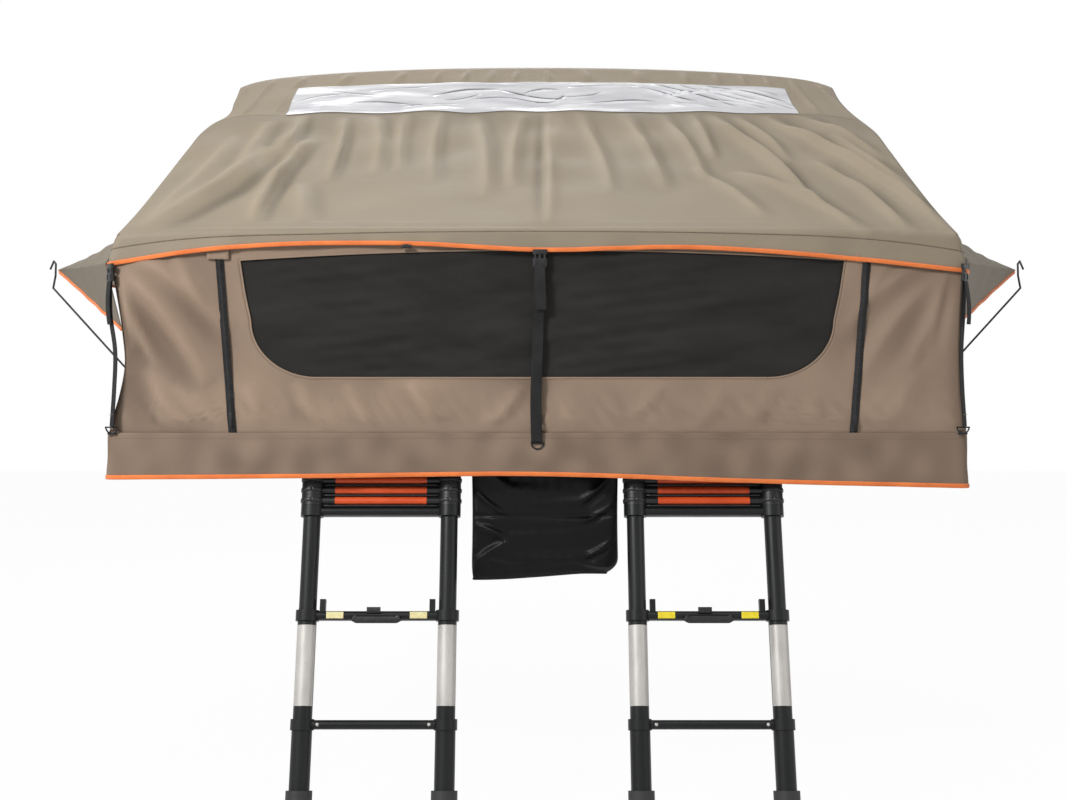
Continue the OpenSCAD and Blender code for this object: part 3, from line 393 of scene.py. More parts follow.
def strokes(x, run, lines):
    """Folds as strokes on the flat cloth, in millimetres: a line between two places, bowed
    sideways, carries a ridge of a width and a height with a hollow along one side; both swell
    from nothing and die away again."""
    rise = np.zeros_like(x)
    for x0, run0, x1, run1, bow, wide, high in np.array(lines) / 1000.0:
        dx, dr = x1 - x0, run1 - run0
        long = math.hypot(dx, dr)
        along = np.clip(((x - x0) * dx + (run - run0) * dr) / long ** 2, -0.2, 1.2)
        off = ((run - run0) * dx - (x - x0) * dr) / long - bow * 4 * along * (1 - along)
        fade = np.sin(math.pi * held(along)) ** 0.7
        d = off / (0.82 * wide)
        rise = rise + high * fade * (np.exp(-np.abs(d) ** 1.4) - 0.42 * np.exp(-(d - 1.7) ** 2))
    return rise


roof_folds = [
    (-749, 950, -765, 600, 12, 22, 17), (-690, 720, -735, 30, -20, 24, 24),
    (-610, 920, -585, 340, 10, 18, 19), (-835, 900, -840, 480, -10, 26, 15),
    (-800, 660, -1015, 20, 30, 45, 26), (-925, 780, -1005, 100, 20, 30, 14),
    (-660, 340, -600, 20, 0, 30, 10), (-520, 950, -465, 400, 20, 26, 15),
    (-420, 960, -390, 420, -10, 22, 11), (-310, 960, -290, 340, -10, 22, 12),
    (-200, 960, -145, 220, 20, 26, 14), (-50, 960, -70, 300, -10, 22, 12),
    (130, 960, 200, 240, 20, 22, 12), (270, 960, 350, 280, 20, 24, 14),
    (390, 960, 470, 360, 20, 20, 15), (490, 950, 516, 540, 10, 18, 14),
    (546, 940, 745, 140, 30, 24, 29), (628, 940, 725, 500, 20, 20, 16),
    (715, 950, 1060, -20, 50, 26, 32), (820, 960, 1015, 560, 30, 22, 15),
    (900, 760, 1035, 240, 20, 26, 19), (790, 520, 940, -30, 30, 24, 20),
    (560, 440, 825, -50, 40, 26, 19), (440, 480, 590, 60, 20, 24, 12),
    (30, 0, 35, 1000, 0, 16, 13), (45, 100, 70, 940, 10, 26, 8)]
film_folds = [
    (300, 1190, 520, 1050, 10, 9, 6.0), (380, 1220, 640, 1010, 10, 10, 6.5),
    (470, 1220, 760, 1030, -10, 8, 6.0), (560, 1210, 820, 1080, 10, 10, 6.5),
    (620, 1160, 830, 1000, 0, 7, 5.5), (400, 1100, 700, 1170, 20, 8, 5.5),
    (340, 1200, 470, 1120, 10, 6, 5.0), (520, 1190, 680, 1110, 10, 6, 5.0),
    (660, 1210, 800, 1150, 0, 6, 5.0), (580, 1080, 740, 1000, 10, 7, 5.0),
    (440, 1070, 580, 1000, -10, 6, 4.5), (720, 1120, 830, 1050, 0, 6, 5.0),
    (-340, 1100, -120, 1150, 20, 12, 6.5), (-120, 1150, 100, 1070, -20, 10, 6.0),
    (-220, 1060, 20, 1040, 20, 10, 6.0), (0, 1050, 100, 1100, -30, 12, 7.0),
    (-300, 1070, -180, 1120, -20, 8, 5.5), (-40, 1120, 80, 1150, 20, 8, 5.5),
    (80, 1090, 220, 1130, -20, 8, 5.0), (-440, 1000, -260, 1030, 10, 8, 5.0),
    (-620, 1050, -400, 1020, 10, 8, 4.5), (100, 1170, 360, 1190, 10, 8, 5.0),
    (-550, 1160, -360, 1190, 0, 8, 4.0), (160, 1020, 400, 1060, 20, 8, 5.0),
    (-780, 1080, -620, 1140, 10, 9, 3.5), (-700, 1170, -520, 1100, 10, 8, 3.5)]


def roof_points(u, t, seed, flip):
    """The front slope: straight from eave to ridge, lower towards its ends, lifted along its own
    normal by its fold strokes, by slanting creases in the top band, by a crease down the middle
    and by a sag between the bows; its edges and both bow lines stay still."""
    x = u * half_width(t, u)
    y = eave_y + (ridge_y - eave_y) * t
    low = eave_z - eave_fall * u ** 8
    high = ridge_z - ridge_fall * np.abs(u) ** 2.3 - corner_fall * u ** 16
    z = low + (high - low) * t - 0.0024 * held(1 - (ridge_y - y) / 0.016)
    run = t * slope_run
    between = held(np.sin(math.pi * held(t)))
    below = held((sky_low - 0.004 - t) / 0.11)
    folds = strokes(x * flip, run, roof_folds) * below
    folds = folds + 0.006 * np.exp(-np.abs(x - 0.03) / 0.09) * below * held((0.6 - t) / 0.2)
    beside = held((np.abs(x) - 0.82) / 0.05) * held((t - sky_low) / 0.04)
    band = np.maximum(beside, held((t - sky_high - 0.01) / 0.03)) * held((0.985 - t) / 0.04)
    slant = 2 * math.pi * (8.5 * x + 1.5 * t * np.sign(x) + 0.5 * np.sin(7 * x + seed))
    creases = 0.010 * band * held(np.sin(slant)) ** 5 * (0.6 + 0.5 * np.abs(u))
    sag = -0.026 * between * (1 - u ** 2) + 0.004 * between * ripple(x, run, seed, 0.32)
    seam = -0.003 * np.exp(-((t - sky_low + 0.012) / 0.006) ** 2) * (np.abs(u) > 0.8)
    still = held((1 - np.abs(u)) / 0.03) * held((1 - t) / 0.03)
    lift = (folds + creases + sag + seam) * still
    lift = np.where(t < 0.03, np.maximum(lift, 0) * t / 0.03, lift)
    return spots(x, y, z) + lift[..., None] * off_slope


def valance_points(u, s, seed, flip):
    """From the eave at s 0 over the bow to the hem at s 1: a quarter roll, then a straight drop
    with shallow gathers, flaring to its corners and turned back round them. The hem is highest
    left of the middle, pulled down at the middle strap and lowest at the corners."""
    roll_share, roll_out, roll_down = 0.35, 0.0185, 0.019
    x, y, z = np.moveaxis(roof_points(u, np.zeros_like(u), seed, flip), -1, 0)
    x = x * (1 + 0.026 * s * np.abs(u) ** 6)
    hem = through(x * flip, [-1.1, -0.854, -0.348, 0.0065, 0.386, 0.791, 1.1],
                  [0.502, 0.5387, 0.5564, 0.5400, 0.5463, 0.5184, 0.4850])
    turn = held(s / roll_share) * math.pi / 2
    drop = held((s - roll_share) / (1 - roll_share))
    y = y - roll_out * np.sin(turn)
    z = z - roll_down * (1 - np.cos(turn)) + (hem - (z - roll_down)) * drop
    y = y - 0.002 * drop * (1 + ripple(x * 3, s * 0.1, seed + 9, 0.5))
    return spots(x, y + 0.02 * held((np.abs(u) - 0.985) / 0.015) ** 2, z)


def mirrored(points):
    """The same surface on the other side of the ridge."""
    turned = points.copy()
    turned[..., 1] = 2 * ridge_y - turned[..., 1]
    return turned


# Each end of the tent: how its pieces are turned to it, its base half, and its outward way on Y.
ends = {"front": (np.copy, "overhang_base", -1), "rear": (mirrored, "fixed_base", 1)}
fold_near, fold_far = np.array([0.0, eave_y, eave_z]), np.array([0.0, ridge_y, ridge_z])
for end, (turn, _, outward) in ends.items():
    seed, flip = (1.0 if end == "front" else 2.6), -outward
    u = np.linspace(-1, 1, 231)
    t = np.unique(np.concatenate([np.linspace(0, 1, 119), [sky_low, sky_high]]))
    s = np.linspace(1, 0, 19)[:-1]
    points = np.concatenate(
        [valance_points(*np.meshgrid(u, s, indexing="ij"), seed, flip),
         roof_points(*np.meshgrid(u, t, indexing="ij"), seed, flip)], axis=1)
    run = np.concatenate([-0.085 * s, slope_run * t])
    cell_x = (points[1:, 1:, 0] + points[:-1, :-1, 0]) / 2 * flip
    cell_t = np.concatenate([np.full(len(s), -1.0), t])
    cell_t = (cell_t[1:] + cell_t[:-1]) / 2
    keep = ~((cell_x > sky_left + film_seam) & (cell_x < sky_right - film_seam)
             & ((cell_t > sky_low) & (cell_t < sky_high))[None])
    run = np.broadcast_to(run, points.shape[:2])
    # Painted shade and light for the canopy: darker in the hollows of its fold strokes and lighter on
    # their ridges. A band of painted shade runs along the skylight's lower seam, and there is none
    # from there up to the ridge.
    relief_and_shade = strokes(points[..., 0] * flip, run, roof_folds) / 0.0072
    relief_and_shade = relief_and_shade - 0.35 * np.exp(-((run - sky_low * slope_run) / 0.14) ** 2)
    relief_and_shade = np.where(run < sky_low * slope_run, relief_and_shade, 0)
    slope_cloth = surface("canopy_" + end, turn(points), spots(u[:, None] * 1.06, run),
                          canopy_cloth, (0, 0, 1), keep, cloth_thick, relief_and_shade)
    x = np.linspace(-1, 1, 241)
    hem = turn(valance_points(x, np.ones_like(x), seed, flip)) + [0, 0.0015 * outward, -0.001]
    hem_binding = carried("canopy_binding_" + end, hem, ring(0.0115, 0.0046, 14, 2.6), bound_edge)
    seam_line = turn(valance_points(x, 0.26 + 0.34 * np.abs(x) ** 2.2, seed, flip))
    eave_seam = carried("canopy_seam_" + end, seam_line, ring(0.0030, 0.0022, 8, 2), eave_thread)
    x, t = grid((sky_left * flip, sky_right * flip, 361),
                (sky_low - film_lap, sky_high + film_lap, 81))
    rim = held(np.minimum(np.minimum(x * flip - sky_left, sky_right - x * flip),
                          np.minimum(t - sky_low + film_lap, sky_high + film_lap - t)) / 0.02)
    # The film's fold strokes raise its crumples and also paint near-black shade lines into their
    # hollows.
    relief_and_shade = strokes(x * flip, t * slope_run, film_folds)
    crumple = 0.0024 + rim * (0.0014 * ripple(x * 0.6, t * 1.6, 21, 0.22) + relief_and_shade)
    film = (roof_points(x / half_width(t, x), t, seed, flip)
            + np.maximum(crumple, 0.0014)[..., None] * off_slope)
    sky = surface("skylight_film_" + end, turn(film), spots(x, t * slope_run), clear_film,
                  (0, 0, 1), None, 0.0008, relief_and_shade / 0.0013)
    if end == "front":
        fold = ("front_bow", "main_bow", fold_near, fold_far)
    else:
        fold = ("main_bow", "rear_bow", mirrored(fold_far), mirrored(fold_near))
    for piece in (slope_cloth, sky):
        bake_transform(piece)
    fixed(hem_binding, end + "_bow")
    fixed(eave_seam, end + "_bow")
    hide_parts("roof_" + end)
    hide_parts("skylight_" + end)


# End walls: poly-cotton panels from the floor frame up to the bows, with a big dark mesh window
# sewn in under the eave; two long zips close the front panel.
wall_cloth = finish("wall_cloth", (146, 125, 107), (158, 136, 117), 0.3, (0.7, 0.82),
                    Specular_IOR_Level=0.3)
# Painted shade in the hollows of the cloth's folds and painted light on their ridges.
painted_fold_shade(wall_cloth, 0.56, 0.86)
grained(wall_cloth, 0.04, 0.003, (1, 1, 1), 0.35)
woven(wall_cloth, 0.0018, 0.0003, 0.6)

insect_mesh = finish("insect_mesh", (24, 23, 21), (36, 34, 31), 0.18, 0.75, 0.0, (1, 1, 2.5),
                     Specular_IOR_Level=0.3)
woven(insect_mesh, 0.0028, 0.0008)

wall_y, wall_half, foot_z, lean_from = -1.7995, 1.0885, 0.066, 0.50
mesh_y, tape_y, zip_y = -1.7965, -1.8002, -1.8010
window_middle = np.array([0.014, 0.36])
hang_start, bow_pin = np.array([0.0, -0.7495, -0.2617]), np.array([0.0, -0.6, 0.21])


def corner_pull(z, side):
    """How far the wall's corner is drawn in at a height: none at the floor, most at half height,
    and leaning in again above the hem to meet the roof's edge."""
    left = through(z, [0.05, 0.083, 0.165, 0.2477, 0.336, 0.476, 0.56],
                   [0.0, 0.004, 0.027, 0.042, 0.035, 0.013, 0.0])
    right = through(z, [0.05, 0.0956, 0.169, 0.317, 0.474, 0.56],
                    [0.0, 0.002, 0.010, 0.0145, 0.007, 0.0])
    lean = 0.022 * held((z - lean_from) / (eave_z - eave_fall - lean_from)) ** 0.8
    return np.maximum(np.where(side < 0, left, right), lean)


def window_edge(count):
    """The mesh window's outline from its middle: a shallow arch at the top, sides leaning in a
    little, and lower corners of large radius. Gives x and z round the window."""
    a, b = np.linspace(0, math.pi / 2, 40), np.linspace(1.0, 0.0, 16)
    corner = spots(0.573 + 0.167 * np.sin(a), 0.215 + 0.145 * (1 - np.cos(a)))
    arch = spots(0.768 * b, 0.540 - 0.026 * b ** 2)
    right = np.concatenate([corner, [[0.755, 0.43]], arch])
    loop = np.concatenate([right, right[-2::-1] * [-1, 1]]) + [0.0125, 0.0]
    loop = np.concatenate([loop, loop[:1]])
    run = run_of(loop)
    at = np.linspace(0, run[-1], count + 1)
    return spots(np.interp(at, run, loop[:, 0]), np.interp(at, run, loop[:, 1]))


def wall_edge(inner, low, high):
    """The wall's outline met by a line from the window's middle through each window point: the
    floor, the eave, or the drawn-in corner, whichever comes first."""
    way = inner - window_middle
    side = np.sign(way[:, 0])
    reach_z = np.where(way[:, 1] > 0, (high - window_middle[1]) / np.maximum(way[:, 1], 1e-6),
                       (low - window_middle[1]) / np.minimum(way[:, 1], -1e-6))
    reach_x = (side * wall_half - window_middle[0]) / np.where(np.abs(way[:, 0]) < 1e-6, 1e-6,
                                                               way[:, 0])
    outer = window_middle + way * np.minimum(reach_z, reach_x)[:, None]
    most = wall_half - corner_pull(outer[:, 1], side)
    return spots(side * np.minimum(np.abs(outer[:, 0]), most), outer[:, 1])


wall_folds = [
    (1060, 500, 830, 200, -20, 34, 20), (1040, 530, 780, 330, -20, 28, 16),
    (1066, 500, 1020, 280, 0, 14, 12), (1050, 460, 960, 240, 10, 18, 12),
    (990, 250, 880, 80, 10, 36, 12), (930, 540, 840, 400, 0, 16, 7),
    (740, 200, 700, 80, 0, 20, 7), (620, 210, 520, 80, 10, 22, 9),
    (490, 200, 395, 70, 10, 20, 9), (330, 210, 225, 110, 10, 18, 9),
    (140, 80, 40, 200, 10, 18, 6), (920, 200, 800, 75, 0, 16, 6)]


def wall_bulge(x, z, seed):
    """How far the wall stands out: folds running down and inwards from each eave corner, shorter
    slanting ones under the window, small creases at the foot seam, and slow unevenness; still at
    its edges."""
    hold = held((z - 0.07) / 0.04) * held((0.56 - z) / 0.06) * held((1.088 - np.abs(x)) / 0.05)
    shift = 0.03 * seed * (x > 0)
    out = strokes(np.abs(x) + shift * np.abs(x), z + 0.2 * shift, wall_folds)
    out = out * np.where(x < 0, 1.25, 0.5)
    foot = np.exp(-((z - 0.12) / 0.05) ** 2)
    out = out + 0.004 * foot * np.abs(ripple(x * 1.6 + z, z * 0.6, seed + 5, 0.12))
    return hold * (out + 0.0035 * ripple(x, z, seed + 6, 0.26))


def hung(piece, end):
    """A piece that hangs from a bow down to its base half: its placement is baked into its mesh, and
    the end's hanging start and bow pin are turned to it but not used.
    """
    turn, base, _ = ends[end]
    tuple(turn(hang_start))
    tuple(turn(bow_pin))
    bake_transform(piece)


for end, (turn, _, outward) in ends.items():
    inner = window_edge(420)
    outer = wall_edge(inner, foot_z, 0.568)
    r = np.linspace(0, 1, 34)[None, :, None]
    flat = inner[:, None] * (1 - r) + outer[:, None] * r
    x, z = flat[..., 0], flat[..., 1]
    bulge = wall_bulge(x, z, 1.0 if end == "front" else 2.0)
    # Painted shade and light: darker in the hollows of the wall's bulge and lighter where it stands
    # out, with the wall's left corner (negative x) painted in shade.
    relief_and_shade = bulge / 0.010 - 0.65 * held((-0.80 - x) / 0.08)
    wall = surface("end_wall_" + end, turn(spots(x, wall_y - bulge * held(r[..., 0] / 0.2), z)),
                   flat, wall_cloth, (0, outward, 0), None, cloth_thick, relief_and_shade)
    r = np.linspace(0, 1, 40)[None, :, None]
    flat = window_middle + (inner - window_middle)[:, None] * r * 1.016
    x, z = flat[..., 0], flat[..., 1]
    crease = 0.0034 * ripple(x * 0.5, z * 1.6, 31, 0.2)
    crease = crease + 0.0014 * ripple(x * 0.6, z * 2.0, 32, 0.09)
    y = mesh_y - np.clip(crease, -0.004, 0.004) * held((1 - r[..., 0]) / 0.15)
    window = surface("window_mesh_" + end, turn(spots(x, y, z)), flat, insect_mesh,
                     (0, outward, 0), None, mesh_thick)
    tape = carried("window_tape_" + end, turn(spots(inner[:, 0], tape_y, inner[:, 1])),
                   ring(0.0016, 0.005, 10, 3), wall_cloth, (0, 1, 0))
    for piece, slot in ((wall, "wall_cloth"), (window, "mesh"), (tape, "wall_cloth")):
        hung(piece, end)
    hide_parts("wall_" + end)
    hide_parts("window_" + end)

zip_tape = finish("zip_tape", (26, 26, 27), (38, 38, 39), 0.02, 0.5, Specular_IOR_Level=0.3)
coil = node(zip_tape.node_tree, "TexWave", {"Scale": 2 * math.pi / (20 * 0.004), "Vector": place(
    zip_tape.node_tree, "UV")}, bands_direction="Y")
raised(zip_tape, coil.outputs["Fac"], 0.0012)
zip_across = [-1, -0.99, -0.36, -0.3, -0.18, 0, 0.18, 0.3, 0.36, 0.99, 1, 1, -1, -1]
zip_rise = [0, 1, 1, 2.2, 3.0, 3.3, 3.0, 2.2, 1, 1, 0, -0.4, -0.4, 0]
zip_profile = spots(np.array(zip_across) * 0.010, np.array(zip_rise) * -0.001)
for side, word, top in ((-1, "left", 0.548), (1, "right", 0.540)):
    z = np.linspace(foot_z, top, 60)
    x = window_middle[0] + side * (0.786 + 0.035 * (z - 0.07) / 0.454)
    y = zip_y - np.maximum(wall_bulge(x, z, 1.0), 0)
    teeth = carried("zip_" + word, spots(x, y, z), zip_profile, zip_tape, (1, 0, 0))
    tab = spots(x[-1] + np.linspace(-0.028, 0.028, 9), y[-1] - 0.0035, top - 0.018)
    cover = carried("zip_cover_" + word, tab, ring(0.030, 0.002, 12, 4), wall_cloth)
    pull = spots(x[6], y[6] - 0.004 - 0.002 * np.sin(np.linspace(0, 3, 24)),
                 np.linspace(z[6] + 0.012, z[6] - 0.026, 24))
    puller = carried("zip_pull_" + word, pull, ring(0.008, 0.003, 12, 3), black_steel, (1, 0, 0))
    for piece, slot in ((teeth, "black_plastic"), (cover, "wall_cloth"), (puller, "bracket_steel")):
        hung(piece, "front")
    if side < 0:
        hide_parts("door_zips")


# Side walls: each is one gusset from floor to roof edge, sewn along the bows it is folded by, with a
# mesh window across the bows; its top stops just under the roof's edge.
bow_angle, bow_keep = math.radians(17.6), 0.013
sill_z, lintel_z, mesh_out = 0.22, 0.498, 0.007


def bow_line(y):
    """Height of the front bow's leg over a place along the floor."""
    return bow_pin[2] - (y - bow_pin[1]) * math.tan(bow_angle)


def roof_edge(y):
    """Height of the roof's edge over a place along the floor, just under the canopy."""
    t = held((y - eave_y) / (ridge_y - eave_y))
    low, high = eave_z - eave_fall, ridge_z - ridge_fall - corner_fall
    return low + (high - low) * t - 0.0025


def side_x(y, z, side):
    """How far out the side wall stands: drawn in at its corner, upright to the hem, and leaning
    in above it to meet the roof's edge."""
    t = held((y - eave_y) / (ridge_y - eave_y))
    lean = held((z - lean_from) / (roof_edge(y) - lean_from)) ** 0.8
    corner = corner_pull(z, side) * np.exp(-np.clip(y - wall_y, 0, 5) / 0.16)
    inward = (1.0910 - half_width(t, np.full_like(y, side))) * lean
    return side * (wall_half - np.maximum(corner, inward))


def gusset(name, span, lower, upper, side, turn, seed=None):
    """A part of the side wall between two lines, row by row from the lower to the upper. Cloth
    has a seed, and bulges softly between its still edges; mesh stands a little proud of it."""
    start, stop, cols, rows = span
    y = np.linspace(start, stop, cols)[:, None]
    r = np.linspace(0, 1, rows)[None]
    z = lower(y) + (upper(y) - lower(y)) * r
    calm = held(r / 0.12) * held((1 - r) / 0.12) * held((y - start) / 0.1) * held((stop - y) / 0.05)
    y = np.broadcast_to(y, z.shape)
    if seed is None:
        out, finished, thick = mesh_out, insect_mesh, mesh_thick
    else:
        out = 0.0035 * ripple(y, z, seed, 0.34) + 0.002 * np.abs(
            ripple(y * 1.2 + z, z, seed + 1, 0.16))
        out, finished, thick = np.clip(calm * out, -0.005, 0.005), wall_cloth, cloth_thick
    points = spots(side_x(y, z, side) + side * out, y, z)
    return surface(name, turn(points), spots(y, z), finished, (side, 0, 0), None, thick)


def gathered(piece, end):
    """Fixes a piece to a bow and gives it a mesh of its own."""
    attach(piece, end + "_bow")
    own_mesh(piece)


for side, word in ((-1, "left"), (1, "right")):
    for end, (turn, _, _) in ends.items():
        part = "_%s_%s_" % (word, end)
        low = gusset("side_wall" + part + "low", (wall_y, ridge_y, 90, 30), lambda y: foot_z,
                     lambda y: np.minimum(bow_line(y), roof_edge(y)), side, turn, 42 + side)
        high = gusset("side_wall" + part + "high", (-1.7788, ridge_y, 90, 60), bow_line,
                      lambda y: np.maximum(roof_edge(y), bow_line(y)), side, turn, 46 + side)
        mesh_low = gusset("side_mesh" + part + "low", (-1.05, -0.634, 50, 16), lambda y: sill_z,
                          bow_line, side, turn)
        mesh_high = gusset("side_mesh" + part + "high", (-1.05, ridge_y, 50, 16),
                           lambda y: np.maximum(bow_line(y), sill_z), lambda y: lintel_z, side,
                           turn)
        hung(low, end)
        hung(mesh_low, end)
        gathered(high, end)
        gathered(mesh_high, end)
        if end == "front":
            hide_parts("side_wall_" + word)
            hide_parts("side_window_" + word)


# Awnings: a sheet sewn to each side under the roof's edge, spread to two tips by sprung steel
# rods that stand in sockets on the base; an orange binding edges it.
# Lines of the awning: the first past the shared tip, the last with painted shade, and the number of
# lines over which that shade fades.
tip_line, facet_line, facet_fade = 47, 60, 14


def awning_half(side, tip_y):
    """The front half of an awning: straight lines from its seam on the wall to its outer edge,
    where the two front facets share the rod's tip; each line sags a little."""
    seam = np.array([[1.0935, -1.678, 0.348], [1.0950, -1.800, 0.506], [1.0720, -1.720, 0.584],
                     [1.0815, -0.6, 0.584]])
    outer = np.array([[1.4460, tip_y, 0.552]] * 3 + [[1.4400, -0.6, 0.5495]])
    share = np.concatenate([np.linspace(0, 1, 26)[:-1], np.linspace(1, 2, 22)[:-1],
                            np.linspace(2, 3, 50)])
    a, b = (spots(*[np.interp(share, np.arange(4), line[:, i]) for i in range(3)])
            for line in (seam, outer))
    v = np.linspace(0, 1, 41)[None]
    points = a[:, None] * (1 - v[..., None]) + b[:, None] * v[..., None]
    middle = np.sin(math.pi * v)
    points[..., 2] -= 0.010 * middle * held(share[:, None] - 1.4)
    points[..., 1] += 0.012 * middle * held(1.6 - share[:, None])
    points[..., 2] += 0.0016 * middle * ripple(points[..., 0] * 1.5, points[..., 1], 51, 0.22)
    points[..., 0] *= side
    return points, spots(run_of(a)[:, None], v * np.linalg.norm(b - a, axis=1)[:, None])


rod_steel = finish("rod_steel", (46, 47, 49), (70, 71, 73), 0.02, (0.3, 0.5), 0.7)
grained(rod_steel, 0.001, 0.0001)
dress(rod_steel, "awning_rods_front", "awning_rods_rear")
socket_steel = finish("socket_steel", (24, 24, 25), (38, 38, 39), 0.015, 0.45, 0.4)
grained(socket_steel, 0.002, 0.0002)
dress(socket_steel, "rod_sockets_front", "rod_sockets_rear")

for side, word in ((-1, "left"), (1, "right")):
    for end, (turn, _, _) in ends.items():
        points, flat = awning_half(side, -1.180 if end == "front" else -1.240)
        points = turn(points)
        # Painted shade: the two front facets, which face down, are darkened, fading out early on the
        # top facet, which keeps its own colour.
        shade = -0.9 * held((facet_line - np.arange(len(points))) / facet_fade)[:, None]
        sheet_piece = surface("awning_%s_%s" % (word, end), points, flat, canopy_cloth, (0, 0, 1),
                              None, 0.001, np.broadcast_to(shade, points.shape[:2]))
        edge = np.concatenate([points[0, :-1], points[tip_line:, -1]]) + [0.0, 0.0, -0.003]
        binding = carried("awning_binding_%s_%s" % (word, end), edge,
                          ring(0.0100, 0.0044, 14, 2.6), bound_edge)
        gathered(sheet_piece, end)
        gathered(binding, end)
        if end == "front":
            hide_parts("awning_" + word)


# Straps: three webbing straps pull the eave down to rings on the base. Each has a moulded
# side-release buckle under the valance, a sewn end at the ring and a free tail.
strap_web = finish("strap_web", (32, 32, 33), (44, 44, 45), 0.05, 0.7, Specular_IOR_Level=0.15)
woven(strap_web, 0.0032, 0.0007)
moulded_black = finish("moulded_black", (28, 28, 30), (42, 42, 44), 0.012, (0.3, 0.46),
                       Specular_IOR_Level=0.3)
grained(moulded_black, 0.0015, 0.00015)
buckle_parts = (("head", 0.0, 0.003, -0.009, 0.037, 0.0080, 0.0),
                ("neck", 0.0, -0.008, -0.021, 0.007, 0.006, 0.0),
                ("arm_1", -0.0118, -0.008, -0.021, 0.0055, 0.006, 0.0005),
                ("arm_2", 0.0118, -0.008, -0.021, 0.0055, 0.006, 0.0005),
                ("body", 0.0, -0.020, -0.041, 0.0365, 0.0086, 0.0),
                ("rib_1", -0.010, -0.0225, -0.037, 0.0045, 0.002, 0.0046),
                ("rib_2", 0.010, -0.0225, -0.037, 0.0045, 0.002, 0.0046))


for word, x0, y0, top, ring_z, turned, bends in (
        ("left", -1.0800, -1.8085, 0.500, 0.092, -52, [0.0, 0.0, 0.012, 0.010, 0.004]),
        ("middle", 0.0, -1.8125, 0.536, 0.052, 0, [0.006, 0.003, 0.0, -0.004, -0.002]),
        ("right", 1.0800, -1.8085, 0.500, 0.092, 52, [0.0, -0.003, -0.008, -0.006, 0.0])):
    way = np.array([math.cos(math.radians(turned)), math.sin(math.radians(turned)), 0.0])
    out = np.array([way[1], -way[0], 0.0])
    z = np.linspace(top - 0.030, ring_z, 80)
    down = (top - 0.030 - z) / (top - 0.030 - ring_z)
    path = spots(x0 + through(down, [0, 0.25, 0.5, 0.75, 1], bends),
                 y0 + 0.0015 * np.sin(down * 5), z)
    strap = carried("strap_" + word, path, ring(0.028, 0.0021, 16, 5), strap_web, way)
    fall = np.linspace(0, 1, 40)
    start = np.array([x0 + bends[0], y0, 0.0])
    path = start + out * (0.003 + 0.006 * np.sin(2.6 * fall))[:, None] + spots(
        0.004 * fall, 0.0, np.linspace(top - 0.040, top - 0.150, 40))
    tail = carried("strap_tail_" + word, path, ring(0.027, 0.002, 16, 5), strap_web, way)
    for part, off, high, low, wide, deep, ahead in buckle_parts:
        path = start + way * off + out * ahead + spots(0.0, 0.0, np.linspace(
            top + high, top + low, 16))
        block = fixed(carried("buckle_%s_%s" % (part, word), path, ring(wide, deep, 24, 4.5),
                              moulded_black, way), "front_bow")
        if (part, word) == ("body", "left"):
            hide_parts("buckles")
    hung(strap, "front")
    hung(tail, "front")
    path = (np.array([x0 + bends[4], y0, ring_z + 0.030]) + out * 0.0017
            + way * np.linspace(-0.012, 0.012, 16)[:, None])
    fixed(carried("strap_seam_" + word, path, ring(0.0016, 0.001, 8, 2), wall_cloth),
          "overhang_base")
    if word == "left":
        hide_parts("straps")

path = spots(np.linspace(-0.344, -0.318, 24), -1.8135,
             0.545 + 0.003 * np.sin(np.linspace(0, 3, 24)))
fixed(carried("flap_toggle", path, ring(0.009, 0.008, 16, 2.2), moulded_black),
      "front_bow")


# Skirts: a strip of wall cloth hung round each base half over the channels, stitched to the
# wall's foot and weighted by an orange bound hem.
skirt_half, skirt_long, skirt_corner, skirt_top = 1.0945, 1.2045, 0.025, 0.076


def skirt_points(share, drop):
    """Round the half base from hinge to hinge, with rounded corners: straight down from the wall
    seam to a hem that hangs lower to the right, in shallow folds that grow towards the hem."""
    side_run, front_run = skirt_long - skirt_corner, 2 * (skirt_half - skirt_corner)
    arc = skirt_corner * math.pi / 2
    run = share * (2 * (side_run + arc) + front_run)
    legs = [run <= side_run, run <= side_run + arc, run <= side_run + arc + front_run,
            run <= side_run + 2 * arc + front_run, run >= 0]
    turn_a = (run - side_run) / skirt_corner
    turn_b = (run - side_run - arc - front_run) / skirt_corner
    inner_x, inner_y = skirt_half - skirt_corner, ridge_y - side_run
    nx = np.select(legs, [-1.0, -np.cos(turn_a), 0.0, np.sin(turn_b), 1.0])
    ny = np.select(legs, [0.0, -np.sin(turn_a), -1.0, -np.cos(turn_b), 0.0])
    x = np.select(legs, [-inner_x, -inner_x, run - side_run - arc - inner_x, inner_x, inner_x])
    y = np.select(legs, [ridge_y - run, inner_y, inner_y, inner_y,
                         inner_y + run - side_run - 2 * arc - front_run])
    x, y = x + skirt_corner * nx, y + skirt_corner * ny
    hem = through(x, [-1.1, -0.55, 0.0, 0.55, 1.1], [-0.036, -0.032, -0.027, -0.045, -0.058])
    z = skirt_top + (hem - skirt_top) * drop
    calm = held(share / 0.01) * held((1 - share) / 0.01)
    folds = drop * calm * (0.0022 * (1 + ripple(run, run * 0, 61, 0.42))
                           + 0.0016 * (1 + ripple(run * 1.3, z, 62, 0.16)))
    return spots(x + nx * folds, y + ny * folds, z), spots(run, z)


